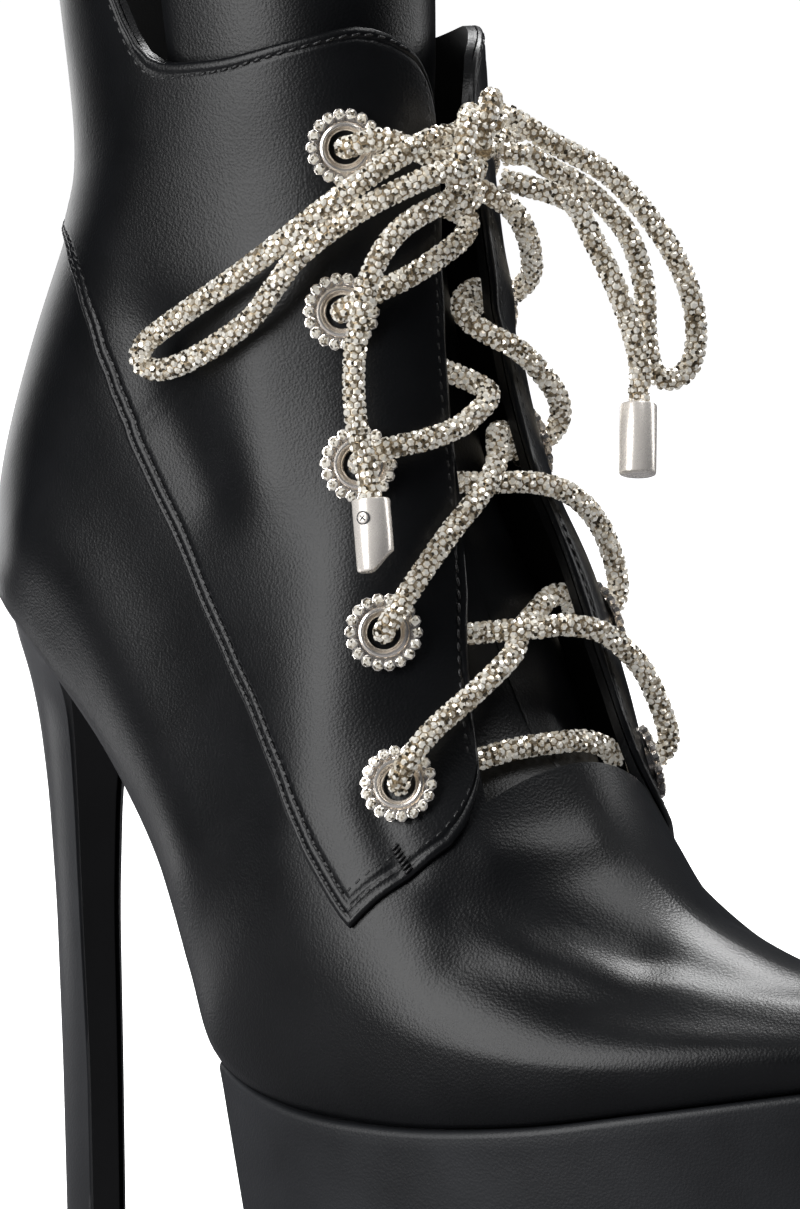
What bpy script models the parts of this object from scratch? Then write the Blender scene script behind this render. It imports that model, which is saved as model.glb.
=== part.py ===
"""Platform stiletto bootie for the right foot, with laced quarter flaps.

The upper, the quarters, the tongue, the insole and the sole pieces all read one shape: a last that is
a fan of cross-sections. A place on it is (s, t, side): s counts the rows of LAST from the toe tip to
the collar, t runs from the sole edge (or the back seam, above the heel) to the ridge, and side is
LATERAL or MEDIAL. Lengths in the tables are millimetres. +X is the toe, +Y the medial side, +Z up.
"""
import functools
import math

import bmesh
import bpy
import numpy as np
from mathutils import Vector

MM = 0.001
LATERAL = -1
MEDIAL = 1
SIDES = {"lateral": LATERAL, "medial": MEDIAL}

# Driving dimensions
LENGTH = 252.0
BALL_WIDTH = 83.5
PLATFORM = 55.0
HEEL_SEAT = 156.0
TOP_HEIGHT = 320.0
ORIGIN_X = 126.97
ORIGIN_Y = -1.47

# Walls and gaps
WALL = 1.8
GAP = 0.3
QUARTER = 1.2
TONGUE = 2.0
INSOLE = 2.0
INSOLE_INSET = 2.4
INSOLE_END = 13.9
SOLE_GAP = 0.5
FLARE_START = 7.2
FLARE_RISE = 2.5
FLARE_NEAR = 0.6
FLARE = {LATERAL: 1.0, MEDIAL: 3.0}

# Fan of sections. Shares: bottom_x and top_x of LENGTH, bottom_z of the pitch between platform and heel
# seat, top_z of TOP_HEIGHT, widest and sole half widths (lateral, medial) of half BALL_WIDTH.
# skew slants a section back on the lateral side, belly is the height share of the widest place, and
# the rounds are exponents of the curve below it and of the curves above it (lateral, medial).
LAST = (
    # name, bottom_x, bottom_z, top_x, top_z, wide_l, wide_m, sole_l, sole_m, skew, belly, low, high_l, high_m
    ("tip", 1.000, 0.198, 1.000, 0.236, 0.002, 0.002, 0.002, 0.002, 0.00, 0.36, 2.00, 2.00, 2.00),
    ("nose", 0.988, 0.192, 0.994, 0.259, 0.156, 0.156, 0.132, 0.132, 0.00, 0.38, 2.00, 2.10, 2.10),
    ("toe_point", 0.952, 0.174, 0.964, 0.270, 0.323, 0.335, 0.275, 0.287, 0.02, 0.36, 2.00, 2.00, 2.00),
    ("toe", 0.885, 0.139, 0.903, 0.278, 0.563, 0.575, 0.491, 0.503, 0.05, 0.35, 2.00, 1.80, 1.80),
    ("toe_root", 0.802, 0.092, 0.827, 0.289, 0.790, 0.790, 0.707, 0.707, 0.09, 0.34, 2.00, 1.60, 1.60),
    ("forefoot", 0.706, 0.038, 0.746, 0.312, 0.946, 0.922, 0.862, 0.826, 0.13, 0.34, 2.00, 1.55, 1.55),
    ("ball", 0.595, 0.002, 0.675, 0.355, 1.030, 0.970, 0.946, 0.862, 0.17, 0.34, 2.00, 1.70, 1.70),
    ("ball_back", 0.486, 0.006, 0.621, 0.412, 1.030, 0.922, 0.958, 0.778, 0.22, 0.36, 2.00, 2.00, 2.00),
    ("waist", 0.404, 0.069, 0.583, 0.466, 0.982, 0.850, 0.893, 0.623, 0.25, 0.40, 2.00, 2.20, 2.70),
    ("shank_low", 0.344, 0.233, 0.558, 0.519, 0.898, 0.790, 0.775, 0.527, 0.20, 0.44, 2.00, 2.40, 2.90),
    ("shank_high", 0.278, 0.450, 0.536, 0.569, 0.826, 0.754, 0.660, 0.491, 0.10, 0.46, 2.00, 2.50, 2.65),
    ("instep", 0.202, 0.658, 0.518, 0.619, 0.778, 0.754, 0.611, 0.515, 0.04, 0.46, 2.00, 2.50, 2.65),
    ("breast", 0.127, 0.827, 0.506, 0.662, 0.766, 0.766, 0.599, 0.563, 0.02, 0.46, 2.00, 2.50, 2.65),
    ("seat", 0.060, 0.926, 0.498, 0.700, 0.766, 0.766, 0.479, 0.479, 0.00, 0.46, 2.00, 2.50, 2.65),
    ("seat_back", 0.018, 0.972, 0.493, 0.728, 0.766, 0.766, 0.240, 0.240, 0.00, 0.46, 2.00, 2.50, 2.65),
    ("corner", 0.003, 1.000, 0.491, 0.744, 0.754, 0.754, 0.000, 0.000, 0.00, 0.46, 2.00, 2.50, 2.65),
    ("heel", 0.001, 1.168, 0.485, 0.775, 0.754, 0.754, 0.000, 0.000, 0.00, 0.46, 1.90, 2.50, 2.65),
    ("tendon", 0.036, 1.436, 0.479, 0.809, 0.743, 0.743, 0.000, 0.000, 0.00, 0.46, 1.70, 2.50, 2.65),
    ("ankle", 0.081, 1.703, 0.472, 0.844, 0.743, 0.743, 0.000, 0.000, 0.00, 0.47, 1.60, 2.50, 2.65),
    ("neck", 0.099, 1.891, 0.466, 0.875, 0.743, 0.743, 0.000, 0.000, 0.00, 0.48, 1.65, 2.50, 2.65),
    ("collar", 0.089, 2.257, 0.462, 0.931, 0.766, 0.766, 0.000, 0.000, 0.00, 0.48, 1.80, 2.40, 2.60),
    ("top", 0.071, 2.624, 0.466, 1.000, 0.790, 0.790, 0.000, 0.000, 0.00, 0.48, 1.80, 2.40, 2.60),
)
ROW = {row[0]: place for place, row in enumerate(LAST)}
CORNER = ROW["corner"]
SECTION_POINTS = 48

# Half width of the throat, from the ridge to each flap edge
THROAT = np.array([
    # s, lateral, medial
    (6.75, 21.0, 21.0),
    (7.80, 15.5, 17.0),
    (8.80, 11.5, 14.0),
    (10.0, 9.0, 10.5),
    (11.2, 7.0, 9.0),
    (12.7, 4.8, 8.2),
    (15.9, 2.6, 6.9),
    (17.3, 2.0, 7.2),
    (19.0, 2.0, 11.5),
])
S_THROAT = 6.75

# Rear seam of the quarter, as t for each s, until it meets the back seam
REAR_SEAM = np.array([
    # s, t
    (6.60, 0.41),
    (6.90, 0.412),
    (7.50, 0.447),
    (8.10, 0.464),
    (8.70, 0.453),
    (10.2, 0.398),
    (11.0, 0.391),
    (12.3, 0.413),
    (14.2, 0.467),
    (14.9, 0.472),
    (15.6, 0.459),
    (16.4, 0.416),
    (17.1, 0.347),
    (17.7, 0.242),
    (18.3, 0.0),
])

# Lower and upper edge of the quarter; across runs from the rear seam (0) to the throat (1)
FLAP_TURN = 0.80
FLAP_CORNER = 0.35
HEM = np.array([
    # across, s
    (0.00, 6.90),
    (0.20, 6.82),
    (0.40, 6.72),
    (0.70, 6.64),
    (1.00, S_THROAT),
])
COLLAR = np.array([
    # across, s
    (0.00, 20.45),
    (0.30, 20.40),
    (0.38, 20.15),
    (0.425, 19.72),
    (0.46, 19.38),
    (0.51, 19.20),
    (0.66, 19.00),
    (0.86, 18.90),
    (0.90, 18.83),
    (0.935, 18.55),
    (0.965, 18.10),
    (1.00, 17.30),
])

# Sampling of the upper: rows up to the quarter, rows beside it, columns behind and in front of the seam
TOE_ROWS = (0.6, 1.0, 1.6, 2.4, 3.2, 4.0, 4.8, 5.5, 6.2)
PLATFORM_END = 7.98
REAR_ROWS = (6.9, 7.5, PLATFORM_END, 8.8, 9.7, 10.7, 11.7, 12.7, 13.6, 14.4, CORNER,
             15.9, 16.7, 17.3, 17.8, 18.3, 19.3, 20.45)
BEHIND_SEAM = (0.0, 0.24, 0.6)
ACROSS = (0.0, 0.1, 0.22, 0.38, 0.425, 0.48, 0.62, 0.78, 0.89, 0.95, 1.0)
VAMP_ACROSS = (0.0, 0.4, 0.75, 1.0)

# Tongue: lateral and medial edge as t, and depth of its outer face below the last
TONGUE_ROWS = np.array([
    # s, edge_t, depth
    (6.20, 0.84, 2.6),
    (6.60, 0.80, 2.9),
    (6.85, 0.76, 6.4),
    (7.10, 0.73, 8.2),
    (8.00, 0.68, 8.4),
    (9.50, 0.60, 8.4),
    (11.5, 0.55, 8.4),
    (14.0, 0.52, 8.4),
    (16.5, 0.50, 8.2),
    (18.0, 0.48, 6.4),
    (19.2, 0.47, 5.4),
    (20.4, 0.47, 5.0),
])
TONGUE_COLUMNS = (0.0, 0.16, 0.32, 0.5, 0.7, 0.86, 1.0)

# Platform and tread
RIM = 2.2
RIM_ROUND = 1.2
RIM_DROP = 0.03
DRAFT = 3.0
TREAD = 3.0
UNDERCUT = 9.0
UNDERCUT_START = 6.4
TOE_SPRING = 17.0
SPRING_START = 165.0
PLATFORM_ROWS = (PLATFORM_END, 7.5, 6.9) + TOE_ROWS[::-1] + (0.0,)
WAIST_COVER = 1.8
WAIST_INSET = 2.5
WAIST_ROWS = (8.05, 8.8, 9.7, 10.7, 11.7, 12.0)

# Heel: rings from the tip to the seat; the last one takes its height from the seat
HEEL_TIP = 6.0
HEEL_ROWS = (
    # height, back_x, breast_x, half_width, slope
    (HEEL_TIP + GAP, 12.6, 24.2, 5.6, 0.0),
    (45.0, 11.9, 23.9, 5.8, 0.0),
    (80.0, 11.0, 22.8, 6.6, 0.0),
    (105.0, 9.4, 22.8, 7.8, 0.0),
    (122.0, 7.4, 23.8, 10.0, -0.12),
    (134.0, 5.0, 26.4, 14.5, -0.32),
    (142.0, 2.9, 28.8, 20.0, -0.48),
)
HEEL_SEAT_RING = (1.6, 30.2, 23.0)
RING_POINTS = 20

# Eyelets: place of each level on the flaps, and the profile that is turned round the axis
EYELETS = (
    # level, s, lateral_t, medial_t
    (1, 16.8, 0.86, 0.83),
    (2, 13.2, 0.83, 0.80),
    (3, 10.9, 0.78, 0.77),
    (4, 8.9, 0.75, 0.73),
    (5, 7.4, 0.67, 0.67),
)
EYELET_PROFILE = (
    # radius, height above the last
    (3.3, -2.4),
    (3.9, -2.4),
    (3.9, 2.1),
    (7.7, 2.1),
    (7.7, 3.0),
    (6.0, 3.5),
    (3.7, 3.4),
)
EYELET_SIDES = 12
EYELET_CUT = 6.0
EYELET_HOLE = 4.2

# Lace
LACE = 4.8
LACE_SIDES = 7
RUN_SPACING = 6.8
INSIDE = -5.0
OVER_BORE = 6.6
OVER_RIM = 7.2
KNOT_CENTRE = (133.2, 0.0, 252.0)
KNOT_HALF = (4.6, 4.7, 11.0)
KNOT_TILT = 0.46
KNOT_RINGS = 9
KNOT_SIDES = 16
AGLET_RADIUS = 3.9

# Runs between eyelets, as (side, s, t, height above the last); each starts at the eyelet it names
LACE_RUNS = {
    "low_a": (("lateral", 5), (
        (LATERAL, 7.48, 0.715, OVER_RIM), (LATERAL, 7.58, 0.77, 6.6), (LATERAL, 7.72, 0.86, 4.9),
        (LATERAL, 7.98, 0.95, 3.2), (LATERAL, 8.25, 1.0, 0.4), (MEDIAL, 8.5, 0.945, -3.0),
        (MEDIAL, 8.68, 0.90, INSIDE), (MEDIAL, 8.8, 0.85, INSIDE), (MEDIAL, 8.88, 0.79, INSIDE))),
    "low_b": (("medial", 5), (
        (MEDIAL, 7.5, 0.70, OVER_RIM), (MEDIAL, 7.72, 0.745, 6.8), (MEDIAL, 7.95, 0.80, 5.4),
        (MEDIAL, 8.12, 0.88, 4.6), (MEDIAL, 8.2, 0.95, 3.4), (LATERAL, 8.22, 1.0, 1.2),
        (LATERAL, 8.28, 0.955, -2.6), (LATERAL, 8.36, 0.91, INSIDE), (LATERAL, 8.5, 0.85, INSIDE))),
    "high_a": (("lateral", 4), (
        (LATERAL, 9.05, 0.785, OVER_RIM), (LATERAL, 9.3, 0.83, 6.8), (LATERAL, 9.6, 0.885, 5.0),
        (LATERAL, 9.92, 0.945, 4.2), (LATERAL, 10.25, 1.0, 0.4), (MEDIAL, 10.55, 0.962, -3.6),
        (MEDIAL, 10.72, 0.92, INSIDE), (MEDIAL, 10.8, 0.86, INSIDE))),
    "high_b": (("medial", 4), (
        (MEDIAL, 9.1, 0.76, OVER_RIM), (MEDIAL, 9.45, 0.81, 6.8), (MEDIAL, 9.75, 0.87, 5.0),
        (MEDIAL, 9.95, 0.93, 4.2), (MEDIAL, 10.06, 1.0, 0.8), (LATERAL, 10.15, 0.962, -4.2),
        (LATERAL, 10.3, 0.92, -5.4), (LATERAL, 10.5, 0.86, -5.4))),
    "turn_lateral_low": (("lateral", 3), (
        (LATERAL, 10.86, 0.825, OVER_RIM), (LATERAL, 10.78, 0.87, 6.8), (LATERAL, 10.78, 0.92, 5.1),
        (LATERAL, 10.9, 0.965, 4.4), (MEDIAL, 11.15, 0.99, 1.6), (MEDIAL, 11.4, 0.995, -2.6),
        (LATERAL, 11.7, 0.97, -5.2), (LATERAL, 12.1, 0.93, INSIDE), (LATERAL, 12.5, 0.88, INSIDE))),
    "turn_medial_low": (("medial", 3), (
        (MEDIAL, 11.0, 0.81, OVER_RIM), (MEDIAL, 11.2, 0.85, 6.8), (MEDIAL, 11.5, 0.90, 5.2),
        (MEDIAL, 11.8, 0.945, 4.6), (MEDIAL, 12.1, 0.978, 1.4), (MEDIAL, 12.4, 0.982, -3.0),
        (MEDIAL, 12.7, 0.96, -5.4), (MEDIAL, 12.95, 0.91, -5.4), (MEDIAL, 13.1, 0.85, INSIDE))),
    "turn_lateral_high": (("lateral", 2), (
        (LATERAL, 13.26, 0.875, OVER_RIM), (LATERAL, 13.4, 0.915, 6.6), (LATERAL, 13.75, 0.96, 5.0),
        (LATERAL, 14.15, 0.995, 4.2), (MEDIAL, 14.65, 0.985, 0.6), (MEDIAL, 15.0, 0.987, -3.6),
        (LATERAL, 15.5, 0.985, -5.4), (LATERAL, 16.2, 0.95, INSIDE), (LATERAL, 16.5, 0.90, INSIDE))),
    "turn_medial_high": (("medial", 2), (
        (MEDIAL, 13.4, 0.84, OVER_RIM), (MEDIAL, 13.8, 0.88, 6.8), (MEDIAL, 14.4, 0.91, 6.2),
        (MEDIAL, 14.9, 0.94, 5.6), (MEDIAL, 15.3, 0.97, 4.0), (MEDIAL, 15.65, 0.985, 0.4),
        (MEDIAL, 16.0, 0.985, -3.6), (MEDIAL, 16.35, 0.96, -5.6), (MEDIAL, 16.7, 0.91, -5.2))),
    "lead_lateral": (("lateral", 1), (
        (LATERAL, 16.75, 0.90, OVER_RIM), (LATERAL, 16.4, 0.935, 6.2))),
    "lead_medial": (("medial", 1), (
        (MEDIAL, 16.75, 0.87, OVER_RIM), (MEDIAL, 16.6, 0.91, 6.4))),
}
BOTTOM_BAR = ((LATERAL, 7.35, 0.72, INSIDE), (LATERAL, 7.2, 0.80, -4.8), (LATERAL, 7.1, 0.90, -4.6),
              (LATERAL, 7.06, 1.0, -4.5), (MEDIAL, 7.1, 0.90, -4.6), (MEDIAL, 7.2, 0.80, -4.8),
              (MEDIAL, 7.35, 0.72, INSIDE))

# Where lace meets the knot, as directions from its middle in shares of its half sizes
CORD_REACH = 5.0
CORD_SPACING = 2.1 * LACE
LEAD_REACH = 1.5
KNOT_GAP = 0.95
KNOT_JOINS = {
    # x, y, z for each end that meets the knot
    "lead_lateral": ((-0.62, -0.74, -0.26),),
    "lead_medial": ((-0.55, 0.83, -0.05),),
    "lace_loop_lateral": ((-0.15, -0.92, 0.22), (0.50, -0.80, -0.28)),
    "lace_loop_medial": ((-0.10, 0.84, 0.42), (0.50, 0.84, -0.12)),
    "lace_end_lateral": ((0.25, -0.62, -0.72),),
    "lace_end_medial": ((0.58, 0.58, -0.56),),
}

# Free lace: loops and ends of the bow, after they leave the knot
CORD_ROUTES = {
    # x, y, z
    "lace_loop_lateral": (
        (131.6, -16.2, 254.0), (128.4, -24.6, 249.6), (119.0, -31.4, 241.4), (100.0, -35.9, 227.4),
        (83.0, -38.6, 216.4), (75.0, -39.2, 210.8), (74.0, -39.0, 206.8), (80.0, -38.6, 206.0),
        (90.0, -37.6, 210.0), (101.5, -35.8, 217.5), (107.5, -34.4, 224.8), (112.5, -33.2, 230.8),
        (120.0, -30.6, 237.0), (128.5, -25.8, 243.0), (136.8, -15.2, 248.6)),
    "lace_loop_medial": (
        (138.0, 16.5, 252.6), (144.2, 27.2, 245.8), (148.8, 35.4, 236.4), (152.2, 41.6, 225.8),
        (153.8, 44.6, 215.6), (153.6, 44.4, 206.6), (151.8, 40.8, 202.4), (149.6, 36.6, 203.8),
        (148.6, 35.0, 211.0), (148.4, 34.4, 222.0), (147.0, 31.4, 232.2), (144.2, 26.4, 239.2),
        (142.0, 20.5, 244.0), (140.6, 13.0, 247.6)),
    "lace_end_lateral": (
        (135.4, -12.6, 242.2), (131.4, -23.2, 236.8), (130.0, -30.7, 227.6), (128.9, -34.0, 213.5),
        (128.9, -34.2, 200.5), (132.3, -35.0, 190.3), (133.97, -35.33, 183.92)),
    "lace_end_medial": (
        (142.8, 11.4, 242.6), (145.2, 16.0, 239.8), (147.2, 19.2, 233.0), (150.0, 23.5, 222.5),
        (151.5, 26.7, 213.5), (152.1, 28.5, 206.5), (152.3, 28.2, 202.5), (152.65, 27.6, 199.6)),
}
AGLETS = {
    # start, end
    "aglet_lateral": ((134.1, -35.4, 183.3), (137.1, -37.1, 168.9)),
    "aglet_medial": ((152.95, 27.1, 198.3), (156.2, 22.9, 184.3)),
}


def smooth(value):
    """Ease from 0 to 1 with flat ends."""
    x = np.clip(value, 0.0, 1.0)
    return x * x * (3.0 - 2.0 * x)


@functools.lru_cache(maxsize=None)
def last_row(s):
    """Millimetre sizes of the section at s, by a smooth curve through the rows of LAST."""
    half = BALL_WIDTH / 2
    unit = np.array([LENGTH, HEEL_SEAT - PLATFORM, LENGTH, TOP_HEIGHT] + [half] * 4 + [1.0] * 5)
    rows = np.array([row[1:] for row in LAST]) * unit
    rows[:, 1] += PLATFORM
    rows = np.vstack([2 * rows[0] - rows[1], rows, 2 * rows[-1] - rows[-2]])
    place = min(max(s, 0.0), len(LAST) - 1 - 1e-9)
    index = int(place)
    x = place - index
    before, start, end, after = rows[index:index + 4]
    leave = (end - before) / 2
    arrive = (after - start) / 2
    row = (start * (2 * x**3 - 3 * x**2 + 1) + leave * (x**3 - 2 * x**2 + x)
           + end * (3 * x**2 - 2 * x**3) + arrive * (x**3 - x**2))
    row[4:8] = np.maximum(row[4:8], 0.0)
    return row


@functools.lru_cache(maxsize=None)
def half_section(s, side):
    """Points of one half section from sole edge to ridge, and their distance along it."""
    bx, bz, tx, tz, wide_l, wide_m, sole_l, sole_m, skew, belly, low, high_l, high_m = last_row(s)
    wide, sole, high = (wide_l, sole_l, high_l) if side == LATERAL else (wide_m, sole_m, high_m)
    angle = np.linspace(0.0, math.pi / 2, SECTION_POINTS + 1)
    up = np.sin(angle)
    over = np.clip(np.cos(angle), 0.0, 1.0)
    width = np.r_[sole + (wide - sole) * up ** (2 / low), (wide * over ** (2 / high))[1:]]
    rise = np.r_[belly * (1 - over ** (2 / low)), (belly + (1 - belly) * up ** (2 / high))[1:]]
    y = side * width
    points = np.c_[bx + (tx - bx) * rise + skew * y, y, bz + (tz - bz) * rise]
    along = np.r_[0.0, np.cumsum(np.linalg.norm(np.diff(points, axis=0), axis=1))]
    return points, along / max(along[-1], 1e-9)


def last_point(s, t, side):
    """Point on the last."""
    points, along = half_section(round(float(s), 4), side)
    return np.array([np.interp(t, along, points[:, axis]) for axis in range(3)])


def last_normal(s, t, side):
    """Outward direction of the last; it lies in the middle plane on the ridge and on the back seam."""
    step_s, step_t = 0.04, 0.012
    along_s = last_point(s + step_s, t, side) - last_point(max(s - step_s, 0.0), t, side)
    along_t = last_point(s, min(t + step_t, 1.0), side) - last_point(s, max(t - step_t, 0.0), side)
    normal = -side * np.cross(along_t, along_s)
    if t >= 1.0 or (t <= 0.0 and s >= CORNER):
        normal[1] = 0.0
    return normal / np.linalg.norm(normal)


@functools.lru_cache(maxsize=None)
def throat_t(s, side):
    """t of the flap edge at s."""
    level = max(s, S_THROAT)
    gap = np.interp(level, THROAT[:, 0], THROAT[:, 1 if side == LATERAL else 2])
    points, along = half_section(round(level, 4), side)
    upper = slice(SECTION_POINTS, None)
    return float(np.interp(-gap, -np.abs(points[upper, 1]), along[upper]))


def flare(s, t, side):
    """How far a flap stands off the last near its edge."""
    edge = throat_t(round(float(s), 4), side)
    return FLARE[side] * float(smooth((s - FLARE_START) / FLARE_RISE)
                                * smooth((t / edge - FLARE_NEAR) / (1 - FLARE_NEAR)))


def skin(s, t, side, height):
    """Point at a height above the leather's outer face."""
    lift = height + (flare(s, min(t, throat_t(round(float(s), 4), side)), side))
    return last_point(s, t, side) + lift * last_normal(s, t, side)


def quarter_place(rear_s, across, side, corner=0.0):
    """(s, t) on the quarter, for a row that starts at rear_s on the seam; corner rounds the flap's foot."""
    share = (rear_s - REAR_ROWS[0]) / (REAR_ROWS[-1] - REAR_ROWS[0])
    turned = max(0.0, (across - FLAP_TURN) / (1 - FLAP_TURN))
    low = np.interp(across, HEM[:, 0], HEM[:, 1]) + corner * (1 - math.sqrt(1 - turned**2))
    high = np.interp(across, COLLAR[:, 0], COLLAR[:, 1])
    s = low + share * (high - low)
    rear = np.interp(s, REAR_SEAM[:, 0], REAR_SEAM[:, 1])
    edge = throat_t(round(float(s), 4), side)
    return s, rear + across * (edge - rear)


def flank_places(side):
    """Grid of (s, t) on one side of the upper, from the toe to the collar."""
    rear = np.interp(REAR_ROWS[0], REAR_SEAM[:, 0], REAR_SEAM[:, 1])
    edge = throat_t(S_THROAT, side)
    grid = []
    for s in TOE_ROWS:
        columns = [(s, c * rear) for c in BEHIND_SEAM]
        grid.append(columns + [(s, rear + a * (edge - rear)) for a in ACROSS])
    for s in REAR_ROWS:
        seam = np.interp(s, REAR_SEAM[:, 0], REAR_SEAM[:, 1])
        columns = [(s, c * seam) for c in BEHIND_SEAM]
        grid.append(columns + [quarter_place(s, a, side) for a in ACROSS])
    return grid


def vamp_places(side):
    """Grid of (s, t) over the toe, between the flank and the ridge."""
    edge = throat_t(S_THROAT, side)
    return [[(s, edge + v * (1 - edge)) for v in VAMP_ACROSS] for s in TOE_ROWS + (S_THROAT,)]


def lifted(grid, side, height):
    """Grid of points at a height above the last."""
    return np.array([[skin(s, t, side, height) for s, t in row] for row in grid])


def new_material(name, colour, roughness, metallic=0.0):
    """Principled material of one colour."""
    material = bpy.data.materials.new(name)
    material.use_nodes = True
    shader = material.node_tree.nodes["Principled BSDF"]
    shader.inputs["Base Color"].default_value = (*colour, 1.0)
    shader.inputs["Roughness"].default_value = roughness
    shader.inputs["Metallic"].default_value = metallic
    material.diffuse_color = (*colour, 1.0)
    return material


def new_mesh(name, points, faces, material, is_smooth=True):
    """Closed mesh object from points in millimetres; faces that fold to a line are dropped."""
    shifted = (np.asarray(points) - (ORIGIN_X, ORIGIN_Y, 0.0)) * MM
    mesh = bpy.data.meshes.new(name)
    mesh.from_pydata(shifted.tolist(), [], faces)
    work = bmesh.new()
    work.from_mesh(mesh)
    bmesh.ops.delete(work, geom=[v for v in work.verts if not v.link_faces], context="VERTS")
    bmesh.ops.recalc_face_normals(work, faces=work.faces)
    if work.calc_volume(signed=True) < 0.0:
        bmesh.ops.reverse_faces(work, faces=work.faces)
    work.to_mesh(mesh)
    work.free()
    mesh.polygons.foreach_set("use_smooth", [is_smooth] * len(mesh.polygons))
    mesh.materials.append(material)
    item = bpy.data.objects.new(name, mesh)
    bpy.context.scene.collection.objects.link(item)
    return item


def thick_sheet(name, patches, material):
    """Closed solid between outer and inner grids; patches that share outer points are welded."""
    index = {}
    outer, inner, faces = [], [], []
    for outer_grid, inner_grid in patches:
        rows, columns = outer_grid.shape[:2]
        places = np.empty((rows, columns), int)
        for r in range(rows):
            for c in range(columns):
                key = tuple(np.round(outer_grid[r, c], 3) + 0.0)
                if key not in index:
                    index[key] = len(outer)
                    outer.append(outer_grid[r, c])
                    inner.append(inner_grid[r, c])
                places[r, c] = index[key]
        for r in range(rows - 1):
            for c in range(columns - 1):
                a, b = int(places[r, c]), int(places[r, c + 1])
                d, e = int(places[r + 1, c]), int(places[r + 1, c + 1])
                faces += [corners for corners in ((a, b, e), (a, e, d)) if len(set(corners)) == 3]
    uses = {}
    for face in faces:
        for place, corner in enumerate(face):
            edge = (face[place - 1], corner)
            uses.setdefault(frozenset(edge), []).append(edge)
    total = len(outer)
    rim = [(a, b, b + total, a + total) for (a, b), *more in uses.values() if not more]
    inside = [tuple(c + total for c in reversed(face)) for face in faces]
    return new_mesh(name, outer + inner, faces + inside + rim, material)


def loft(name, rings, material, is_smooth=True):
    """Closed solid through rings of equal length, with a fan on each end."""
    rings = np.asarray(rings)
    count, around = rings.shape[:2]
    points = list(rings.reshape(-1, 3)) + [rings[0].mean(axis=0), rings[-1].mean(axis=0)]
    faces = []
    for r in range(count - 1):
        for c in range(around):
            d = (c + 1) % around
            faces.append((r * around + c, r * around + d, (r + 1) * around + d, (r + 1) * around + c))
    first, last = count * around, count * around + 1
    for c in range(around):
        d = (c + 1) % around
        faces.append((d, c, first))
        faces.append(((count - 1) * around + c, (count - 1) * around + d, last))
    return new_mesh(name, points, faces, material, is_smooth)


def tube(name, route, radius, material, sides=LACE_SIDES):
    """Closed tube along a route of points."""
    route = np.asarray(route)
    ahead = np.gradient(route, axis=0)
    ahead /= np.linalg.norm(ahead, axis=1)[:, None]
    across = np.cross(ahead[0], (0.3, 0.1, 0.95))
    rings = []
    for point, direction in zip(route, ahead):
        across = across - direction * (across @ direction)
        across /= np.linalg.norm(across)
        lift = np.cross(direction, across)
        turn = np.linspace(0, 2 * math.pi, sides, endpoint=False)
        rings.append(point + radius * (np.outer(np.cos(turn), across) + np.outer(np.sin(turn), lift)))
    return loft(name, rings, material)


def curve_through(points, spacing):
    """Smooth curve through hand-placed points, read off at an even spacing."""
    points = np.asarray(points, float)
    padded = np.vstack([2 * points[0] - points[1], points, 2 * points[-1] - points[-2]])
    fine = []
    for before, start, end, after in zip(padded, padded[1:], padded[2:], padded[3:]):
        for x in np.linspace(0, 1, 16, endpoint=False):
            fine.append(0.5 * (2 * start + (end - before) * x
                               + (2 * before - 5 * start + 4 * end - after) * x**2
                               + (3 * start - before - 3 * end + after) * x**3))
    fine = np.array(fine + [points[-1]])
    along = np.r_[0, np.cumsum(np.linalg.norm(np.diff(fine, axis=0), axis=1))]
    steps = np.linspace(0, along[-1], max(2, round(along[-1] / spacing)) + 1)
    return np.c_[tuple(np.interp(steps, along, fine[:, axis]) for axis in range(3))]


def build_upper(material):
    """Vamp, counter and shaft as one wall, open at the throat, the collar and underneath."""
    tip = last_point(0.0, 0.0, LATERAL) * (1, 0, 1)
    tip_inside = tip + WALL * np.array((-0.6, 0.0, 0.8))
    patches = []
    for side in SIDES.values():
        for grid in (flank_places(side), vamp_places(side)):
            sheets = []
            for height, pole in ((0.0, tip), (-WALL, tip_inside)):
                sheet = lifted(grid, side, height)
                sheets.append(np.concatenate([np.tile(pole, (1, sheet.shape[1], 1)), sheet]))
            patches.append(sheets)
    return thick_sheet("upper", patches, material)


def build_quarter(name, side, material):
    """Quarter with its eyelet flap, laid on the upper."""
    grid = [[quarter_place(s, a, side, FLAP_CORNER) for a in ACROSS] for s in REAR_ROWS]
    sheets = [lifted(grid, side, GAP + QUARTER), lifted(grid, side, GAP)]
    for sheet in sheets:
        y = sheet[..., 1]
        sheet[..., 1] = np.where(side * y < GAP / 2, side * GAP / 2, y)
    return thick_sheet("quarter_" + name, [sheets], material)


def build_tongue(material):
    """Padded tongue inside the throat, from under the vamp to above the collar."""
    sheets = []
    for extra in (0.0, TONGUE):
        rows = []
        for s, edge, depth in TONGUE_ROWS:
            row = []
            for side, columns in ((LATERAL, TONGUE_COLUMNS), (MEDIAL, TONGUE_COLUMNS[-2::-1])):
                for c in columns:
                    t = edge + c * (1 - edge)
                    normal = last_normal(s, t, side)
                    row.append(last_point(s, t, side) - (depth + extra) * normal)
            rows.append(row)
        sheets.append(np.array(rows))
    return thick_sheet("tongue", [sheets], material)


def sole_edges(rows, outset):
    """Lateral and medial sole edge lines, moved out in plan."""
    lines = []
    for side in (LATERAL, MEDIAL):
        line = np.array([last_point(s, 0.0, side) for s in rows])
        ahead = np.gradient(line[:, :2], axis=0)
        ahead /= np.linalg.norm(ahead, axis=1)[:, None]
        away = side * np.c_[-ahead[:, 1], ahead[:, 0]]
        line[:, :2] += outset * away
        lines.append(line)
    return lines


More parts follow.
